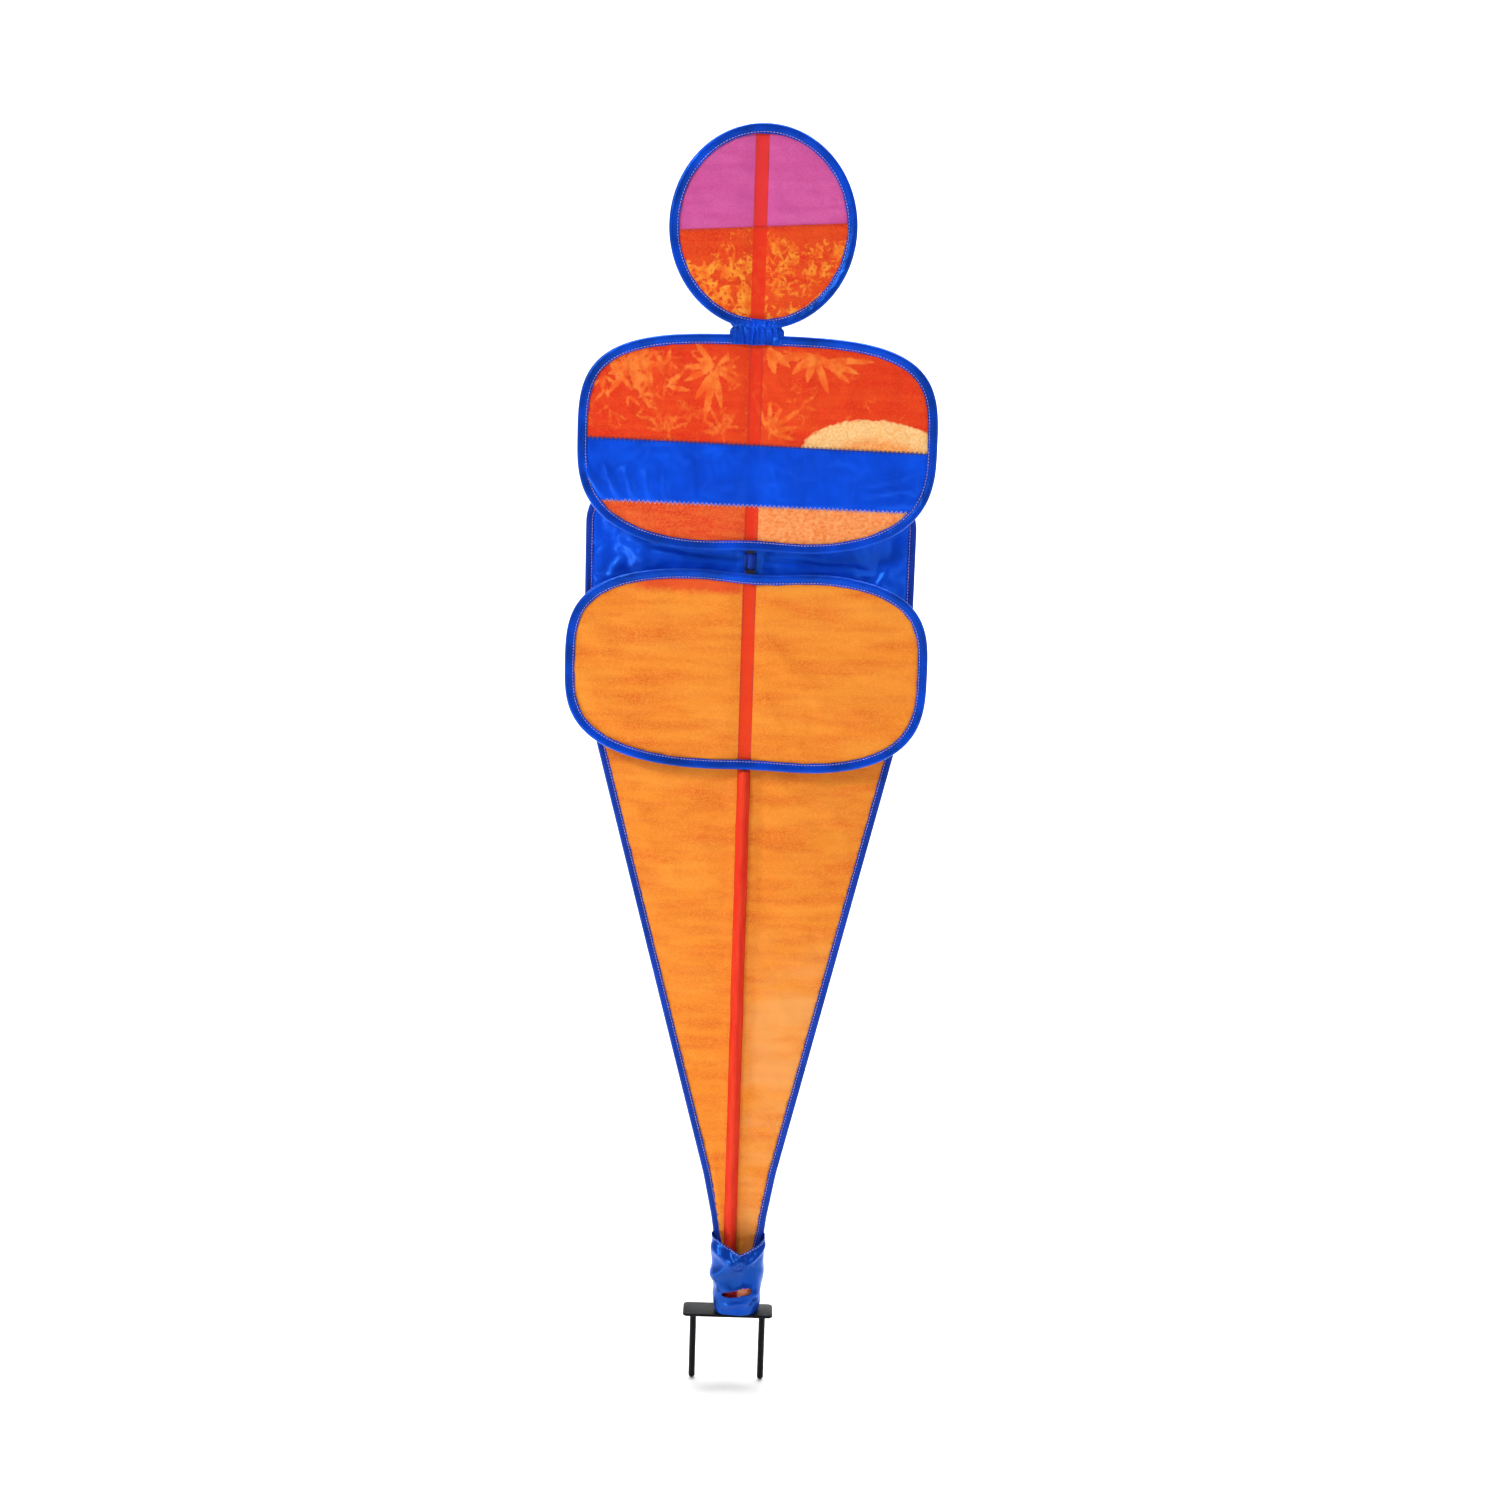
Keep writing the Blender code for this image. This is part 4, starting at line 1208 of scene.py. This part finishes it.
CUFF_POWER = 2.5
RIM_DIP = 0.013
SLIT_HEIGHT = 0.0285
SLIT_RISE = 0.16
SLIT_REACH = 0.0160
SLIT_GAPE = 0.0036
CUFF_FULLNESS = 0.0022
LINING_LOW, LINING_HIGH = 0.010, 0.050
LINING_ROOM = 0.0048

cuff_low, cuff_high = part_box("ankle_cuff")
CUFF_MIDDLE = (cuff_low.x + cuff_high.x) / 2


def cuff_size(z):
    """Half the cuff's width and half its depth at a height."""
    up = (z - cuff_low.z) / (cuff_high.z - cuff_low.z)
    half_width = np.interp(up, (0, 0.35, 1), (0.0235, 0.0262, (cuff_high.x - cuff_low.x) / 2))
    half_depth = np.interp(up, (0, 1), (0.0175, (cuff_high.y - cuff_low.y) / 2))
    return half_width, half_depth


def oval(turn, z, room=0.0):
    """A point of the cuff's squarish oval at a turn from its back, in degrees."""
    half_width, half_depth = cuff_size(z)
    s, c = math.sin(math.radians(turn)), math.cos(math.radians(turn))
    x = -(half_width - room) * math.copysign(abs(s) ** (2 / CUFF_POWER), s)
    y = (half_depth - room) * math.copysign(abs(c) ** (2 / CUFF_POWER), c)
    return Vector((CUFF_MIDDLE + x, y, z))


def cuff_folds(place):
    """How far the satin stands out at a point. The folds are pressed flat at the back."""
    point = Vector((place.x, place.z))
    out = fold(point, (-0.021, 0.040), 40, 0.056, 0.0075, 0.0065)
    out += fold(point, (-0.021, 0.080), -32, 0.036, 0.0055, 0.0055)
    out += fold(point, (0.038, 0.083), 227, 0.040, 0.0036, 0.0058)
    out += fold(point, (0.003, 0.077), -50, 0.023, 0.0036, 0.0046)
    out += fold(point, (-0.014, 0.036), -14, 0.052, 0.0055, 0.0036)
    out += fold(point, (-0.010, 0.012), 12, 0.036, 0.0036, 0.0030)
    out += fold(point, (0.020, 0.060), 262, 0.038, 0.0090, -0.0045)
    crinkle = 0.0007 * noise.noise(place * 110)
    front = min(1, max(0, 0.25 - place.y / 0.012))
    return out * front + crinkle + CUFF_FULLNESS * noise.noise(place * 55)


def rim_height(place):
    """The rim dips to a point right of the middle, at the front only."""
    if place.y > 0:
        return cuff_high.z
    away = abs(place.x - 0.012) / 0.026
    return cuff_high.z - RIM_DIP * max(0, 1 - away) ** 0.9


def in_slit(x, z):
    """The slit is a flat lens that rises to the right."""
    along = x - CUFF_SHIFT
    up = z - SLIT_HEIGHT - SLIT_RISE * along
    return (along / SLIT_REACH) ** 4 + (up / SLIT_GAPE) ** 2 < 1


def cuff_place(turn, share, room=0.0):
    """A point of the satin a share of the way up from the hem, with room left over its face."""
    z = cuff_low.z + (rim_height(oval(turn, cuff_high.z)) - cuff_low.z) * share
    place = oval(turn, z)
    outward = Vector((place.x - CUFF_MIDDLE, place.y * 1.6, 0)).normalized()
    return place + outward * (cuff_folds(place) + room)


def make_cuff():
    columns, rows = 240, 72
    verts = [cuff_place(360 * i / columns, row / rows) for row in range(rows + 1) for i in range(columns)]
    faces = []
    for corners in grid_faces(rows, columns):
        middle = sum((verts[c] for c in corners), Vector()) / 4
        if middle.y > 0 or not in_slit(middle.x, middle.z):
            faces.append(corners)
    satin = satin_shader("ankle_satin", paint(2, 20, 92), paint(3, 38, 150), 0.28, 1.95)
    cuff = new_piece("ankle_satin_cuff", mesh_from("ankle_satin_cuff", verts, faces), satin)
    outward_faces(cuff.data)
    thicken(cuff, CLOTH, -1)
    finish_piece(cuff, "body", "blue_satin", "ankle_cuff")


def lining_print():
    """The printed cloth's cut end inside the cuff: dark red at the left, painted shade, and salmon at the
    right, painted light.
    """
    material, tree, shader, place = polyester("lining_print")
    blotches = mottle(tree, place, 0.004)
    # Dark red at the left is painted shade, and salmon at the right is painted light.
    red = mix_colour(tree, blotches, paint(120, 14, 24), paint(176, 34, 40))
    salmon = mix_colour(tree, blotches, paint(238, 128, 92), paint(252, 158, 122))
    right = ramp(tree, axes_of(tree, place)["X"], 0.0085, 0.0105)
    colour_with(tree, shader, mix_colour(tree, right, red, salmon))
    return material


def make_lining():
    columns, heights = 120, np.linspace(LINING_LOW, LINING_HIGH, 16)
    verts = []
    for z in heights:
        for i in range(columns):
            place = oval(360 * i / columns, z, LINING_ROOM)
            verts.append(place + Vector((0, 0.0010 * noise.noise(place * 150), 0)))
    mesh = mesh_from("cuff_lining", verts, grid_faces(len(heights) - 1, columns))
    lining = new_piece("cuff_lining", mesh, lining_print())
    outward_faces(lining.data)
    thicken(lining, CLOTH, -1)
    finish_piece(lining, "body", "sand_print")


make_cuff()
make_lining()

# ---------------------------------------------------------------------------
# Neck gather. A short tunnel of satin joins the head's hoop to the bust's. An elastic inside it
# draws it into narrow pleats, tightest near its top.

NECK_BOTTOM, NECK_TOP = 1.0010, 1.0240
CINCH = 1.0175
NECK_COLUMNS = 130
NECK_DEPTH = 0.0026
THIN_SATIN = 0.0004


def neck_section(z):
    """The gathered tunnel's outline at a height: along its pleated front and back along its back."""
    low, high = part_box("neck_gather")
    middle, half_width = (low.x + high.x) / 2, (high.x - low.x) / 2 - 0.0012
    drawn_in = math.exp(-(((z - CINCH) / 0.0020) ** 2))
    reach = half_width - 0.0026 * drawn_in + 0.06 * max(0, z - CINCH)
    front = []
    for i in range(NECK_COLUMNS + 1):
        share = 2 * i / NECK_COLUMNS - 1
        x = reach * share
        shift = 9.0 if z > CINCH else 0.0
        wander = 5.0 * noise.noise(Vector((x * 100 + shift, z * 60, 1)))
        pleat = 0.5 + 0.5 * math.sin(x * 1150 + wander)
        ruffle = noise.noise(Vector((x * 230, z * 150, 5)))
        depth = NECK_DEPTH + (0.0016 - 0.0011 * drawn_in) * pleat + 0.0008 * ruffle - 0.0006 * drawn_in
        rounded = (1 - abs(share) ** 5) ** 0.5
        front.append(Vector((middle + x, HIPS.layer - depth * rounded, z)))
    back = []
    for i, p in enumerate(front):
        rounded = (1 - abs(2 * i / NECK_COLUMNS - 1) ** 5) ** 0.5
        back.append(Vector((p.x, HIPS.layer + NECK_DEPTH * rounded, z)))
    return front + back[-2:0:-1]


def make_neck():
    rings = [neck_section(z) for z in np.linspace(NECK_BOTTOM, NECK_TOP, 34)]
    faces = grid_faces(len(rings) - 1, len(rings[0]))
    neck = new_piece("neck_satin_gather", mesh_from("neck_satin_gather", sum(rings, []), faces), SATIN)
    outward_faces(neck.data)
    thicken(neck, THIN_SATIN, -1)
    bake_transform(neck)
    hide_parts("neck_gather")


make_neck()

# ---------------------------------------------------------------------------
# Ties. Loops of ribbed elastic round the pole hold the bust and the hips to it, and a tab of tape
# closes the top of the head's sleeve.

ELASTIC_THICKNESS = 0.0006
TAB_REACH = 0.0046
TAB_EDGE = 0.0003


def elastic_material():
    material, tree, shader, place = new_material("ribbed_elastic", 0.8, Sheen_Weight=0.2)
    ribs = mottle(tree, stretched(tree, place, x=30, y=30), 0.0006, 0.35, 0.65, 1.0)
    colour_with(tree, shader, mix_colour(tree, ribs, paint(10, 12, 30), paint(28, 32, 66)))
    bump(tree, shader, ribs, 0.00015)
    return material


ELASTIC = elastic_material()
for name, body in (("hip_lower_tie", "hips"), ("hip_upper_tie", "hips"), ("bust_lower_tie", "bust")):
    low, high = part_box(name)
    reach, edge = (high.x - low.x) / 2, ELASTIC_THICKNESS / 2
    rounded = arc((reach - edge, high.z - edge), edge, 180, 0, 5)
    rounded += arc((reach - edge, low.z + edge), edge, 0, -180, 5)
    loop = new_piece(f"{name}_loop", turned_mesh(name, rounded + rounded[:1], (0, 0), 40), ELASTIC)
    finish_piece(loop, body, "elastic", name)


def make_sleeve_end():
    low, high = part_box("head_sleeve_end")
    rim = arc((TAB_REACH, high.z - TAB_EDGE), TAB_EDGE, 90, -90, 5)
    profile = [(0, high.z)] + rim + [(0, low.z)]
    mesh = turned_mesh("sleeve_end", profile, (0, (low.y + high.y) / 2), 32)
    finish_piece(new_piece("sleeve_end_tab", mesh, RED), "head", "red_tape", "head_sleeve_end")


make_sleeve_end()

# ---------------------------------------------------------------------------
# Stitching. Lilac thread runs round every binding, front and back, and red thread down both
# edges of the hoops' sleeves. The band's edges are overlocked with slanting stitches, and the head's seam
# is sewn in red.

STITCH = 0.0024
STITCH_SPACING = 0.0031
THREAD_RADIUS = 0.00034
OVERLOCK = 0.0048
OVERLOCK_SPACING = 0.0022
OVERLOCK_SLANT = 1.8


def stitch_tree():
    """Lays thread along paths: one capsule per stitch, leaning by turns where a slant is given."""
    tree = bpy.data.node_groups.new("stitches", "GeometryNodeTree")
    interface = tree.interface
    interface.new_socket("Geometry", in_out="INPUT", socket_type="NodeSocketGeometry")
    sizes = {"Spacing": STITCH_SPACING, "Length": STITCH, "Radius": THREAD_RADIUS, "Slant": 0.0}
    for label, start in sizes.items():
        interface.new_socket(label, in_out="INPUT", socket_type="NodeSocketFloat").default_value = start
    interface.new_socket("Material", in_out="INPUT", socket_type="NodeSocketMaterial")
    interface.new_socket("Geometry", in_out="OUTPUT", socket_type="NodeSocketGeometry")
    given, result = tree.nodes.new("NodeGroupInput").outputs, tree.nodes.new("NodeGroupOutput").inputs

    def put(kind, inputs=None, **settings):
        return add_node(tree, kind, inputs, **settings).outputs[0]

    curve = put("GeometryNodeMeshToCurve", {0: given["Geometry"]})
    spaced = put("GeometryNodeResampleCurve", {"Curve": curve, "Length": given["Spacing"]}, mode="LENGTH")
    along = put("GeometryNodeInputTangent")
    across = put("ShaderNodeVectorMath", {0: along, 1: (0, 1, 0)}, operation="CROSS_PRODUCT")
    odd = put("ShaderNodeMath", {0: put("GeometryNodeInputIndex"), 1: 2.0}, operation="MODULO")
    signed = put("ShaderNodeMath", {0: odd, 1: 2.0, 2: -1.0}, operation="MULTIPLY_ADD")
    lean = put("ShaderNodeMath", {0: signed, 1: given["Slant"]}, operation="MULTIPLY")
    aside = put("ShaderNodeVectorMath", {0: across, "Scale": lean}, operation="SCALE")
    direction = put("ShaderNodeVectorMath", {0: along, 1: aside}, operation="ADD")
    turn = put("FunctionNodeAlignRotationToVector", {"Vector": direction}, axis="X")
    capsule = put("GeometryNodeMeshUVSphere", {"Segments": 6, "Rings": 4})
    half = put("ShaderNodeMath", {0: given["Length"], 1: 0.5}, operation="MULTIPLY")
    size = put("ShaderNodeCombineXYZ", {0: half, 1: given["Radius"], 2: given["Radius"]})
    placed = {"Points": spaced, "Instance": capsule, "Rotation": turn, "Scale": size}
    real = put("GeometryNodeRealizeInstances", {0: put("GeometryNodeInstanceOnPoints", placed)})
    smooth = put("GeometryNodeSetShadeSmooth", {0: real})
    thread = put("GeometryNodeSetMaterial", {"Geometry": smooth, "Material": given["Material"]})
    tree.links.new(thread, result[0])
    return tree


STITCHES = stitch_tree()


def thread_material(name, colour):
    material, tree, shader, place = new_material(name, 0.5, Sheen_Weight=0.3)
    worn = mottle(tree, place, 0.006)
    darker = tuple(0.6 * c for c in colour[:3]) + (1,)
    colour_with(tree, shader, mix_colour(tree, worn, darker, colour))
    return material


LILAC_THREAD = thread_material("lilac_thread", LILAC)
RED_THREAD = thread_material("red_thread", paint(190, 30, 20))
NAVY_THREAD = thread_material("navy_thread", paint(20, 30, 110))


def sew(name, paths, body, material, slot, closed=False, slant=0.0, spacing=STITCH_SPACING, length=STITCH):
    """Stitches along paths of (x, y, z), as one plain mesh that rides on a body."""
    verts, edges = [], []
    for path in paths:
        start = len(verts)
        verts += path
        edges += [(start + i, start + i + 1) for i in range(len(path) - 1)]
        if closed:
            edges.append((len(verts) - 1, start))
    guide_mesh = bpy.data.meshes.new(name)
    guide_mesh.from_pydata(verts, edges, [])
    guide = bpy.data.objects.new(f"{name}_guide", guide_mesh)
    bpy.context.scene.collection.objects.link(guide)
    nodes = guide.modifiers.new("stitches", "NODES")
    nodes.node_group = STITCHES
    sizes = {"Spacing": spacing, "Length": length, "Slant": slant, "Material": material}
    for item in STITCHES.interface.items_tree:
        if item.in_out == "INPUT" and item.name in sizes:
            nodes[item.identifier] = sizes[item.name]
    bpy.context.view_layer.update()
    made_mesh = bpy.data.meshes.new_from_object(guide.evaluated_get(bpy.context.evaluated_depsgraph_get()))
    bpy.data.objects.remove(guide)
    made = bpy.data.objects.new(name, made_mesh)
    bpy.context.scene.collection.objects.link(made)
    finish_piece(made, body, slot)


def binding_paths(edge, layer, closed, width):
    """The stitch lines on a binding's front and back, just inside its raw edge."""
    line = [p - n * (width - STITCH_INSET) for p, n in zip(edge, outwards(edge, closed))]
    lift = TAPE_LEG * 1.15 + THREAD_RADIUS / 2
    return [[(p.x, layer(p) + side * lift, p.y) for p in line] for side in (-1, 1)]


for hoop, body in HOOPS:
    paths = binding_paths(hoop.edge, hoop.flat, True, BINDING_WIDTH)
    sew(f"{hoop.name}_binding_stitches", paths, body, LILAC_THREAD, "blue_satin", closed=True)
paths = binding_paths(BODY_EDGE, bowed_layer, False, BODY_BINDING)
sew("body_binding_stitches", paths, "body", LILAC_THREAD, "blue_satin")


cuff_rim = [tuple(cuff_place(turn, 0.982, THREAD_RADIUS / 2)) for turn in range(96, 265)]
sew("cuff_rim_stitches", [cuff_rim], "body", LILAC_THREAD, "blue_satin")


def seam_path(hoop, height, slope, inset_by, step):
    """A straight line across a hoop from binding to binding, on the cloth's face."""
    lift = hoop_lift(hoop, step)
    outline = inset(hoop.edge, inset_by)
    crossings = [p.x for p in outline if abs(p.y - height - slope * p.x) < 0.002]
    left, right = min(crossings), max(crossings)
    xs = np.linspace(left, right, 160)
    face = -(CLOTH / 2 + THREAD_RADIUS / 2)
    return [(x, lift(Vector((x, 0))) + face, height + slope * x) for x in xs]


for name, seam, thread in (("lower", BAND_BOTTOM, LILAC_THREAD), ("upper", BAND_TOP, NAVY_THREAD)):
    path = seam_path(BUST, *seam, BINDING_WIDTH, LAP_STEP)
    sew(
        f"band_{name}_overlock", [path], "bust", thread, "blue_satin",
        slant=OVERLOCK_SLANT, spacing=OVERLOCK_SPACING, length=OVERLOCK,
    )
head_seam = [seam_path(HEAD, HEAD_SEAM[0] - 0.0015, HEAD_SEAM[1], BINDING_WIDTH, LAP_STEP)]
sew("head_seam_stitches", head_seam, "head", RED_THREAD, "leaf_print")


def sleeve_paths(node, side, faces):
    """Lines down both edges of a sleeve, on the tape's face and on the cloth's."""
    low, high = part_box(node)
    at = TAPE_REACH - 0.0007
    paths = []
    for edge in (-at, at):
        for face in faces:
            y = side * layer_at(edge) + face * (CLOTH / 2 + THREAD_RADIUS / 2)
            paths.append([(edge, y, z) for z in np.linspace(low.z + 0.002, high.z - 0.002, 60)])
    return paths


for hoop, body in HOOPS:
    paths = sleeve_paths(f"{hoop.name}_pole_sleeve", -1, (-1,))
    sew(f"{hoop.name}_sleeve_stitches", paths, body, RED_THREAD, "red_tape")

# ---------------------------------------------------------------------------
# Floor, light and camera.


def make_stage():
    """A pale floor that curves up behind into a backdrop, so that no horizon shows."""
    ground, back, bend = cad_size[0][2] - 0.0005, 2.4, 2.2
    profile = [(-6.0, ground)] + [(back + bend * math.sin(t), ground + bend * (1 - math.cos(t)))
                                  for t in np.linspace(0, math.pi / 2, 24)]
    profile.append((back + bend, 9.0))
    verts = [(x, y, z) for y, z in profile for x in (-9.0, 9.0)]
    faces = [(2 * i, 2 * i + 1, 2 * i + 3, 2 * i + 2) for i in range(len(profile) - 1)]
    mesh = mesh_from("studio_floor", verts, faces)
    floor = bpy.data.objects.new("studio_floor", mesh)
    bpy.context.scene.collection.objects.link(floor)
    material, tree, shader, place = new_material("pale_floor", 0.9)
    cloud = mottle(tree, place, 0.8)
    colour_with(tree, shader, mix_colour(tree, cloud, (0.90, 0.90, 0.90, 1), (0.93, 0.93, 0.93, 1)))
    mesh.materials.append(material)


def soft_light(name, place, target, size, power):
    lamp = bpy.data.lights.new(name, "AREA")
    lamp.size = size
    lamp.energy = power
    made = bpy.data.objects.new(name, lamp)
    bpy.context.scene.collection.objects.link(made)
    made.location = place
    made.rotation_euler = (Vector(target) - Vector(place)).to_track_quat("-Z", "Y").to_euler()


def make_lights():
    world = bpy.data.worlds.new("studio")
    world.use_nodes = True
    world.node_tree.nodes["Background"].inputs["Color"].default_value = (1, 1, 1, 1)
    world.node_tree.nodes["Background"].inputs["Strength"].default_value = 0.30
    bpy.context.scene.world = world
    soft_light("key", (-1.7, -2.4, 2.4), (0, 0, 0.7), 0.6, 46)
    soft_light("fill", (2.4, -2.6, 1.0), (0, 0, 0.6), 1.6, 14)
    soft_light("low_left", (-1.5, -1.0, -0.1), (0, 0, 0.8), 0.30, 16)
    soft_light("backdrop", (0, 1.2, 3.6), (0, 4.0, 0.6), 3.0, 260)
    soft_light("floor", (0, 0.6, 3.4), (0, 0.8, 0), 2.4, 50)


def make_camera():
    """At about eye height, tipped down to take in the whole figure, and a little askew."""
    lens = bpy.data.cameras.new("camera")
    lens.sensor_width = 36.0
    lens.lens = 52.35
    made = bpy.data.objects.new("camera", lens)
    bpy.context.scene.collection.objects.link(made)
    tip_down, askew = math.radians(10.5), math.radians(1.75)
    turn = Matrix.Rotation(math.pi / 2 - tip_down, 4, "X") @ Matrix.Rotation(askew, 4, "Z")
    made.matrix_world = Matrix.Translation((0.0055, -2.15, 1.0)) @ turn
    bpy.context.scene.camera = made


make_stage()
make_lights()
make_camera()
bpy.context.scene.view_settings.view_transform = "Standard"
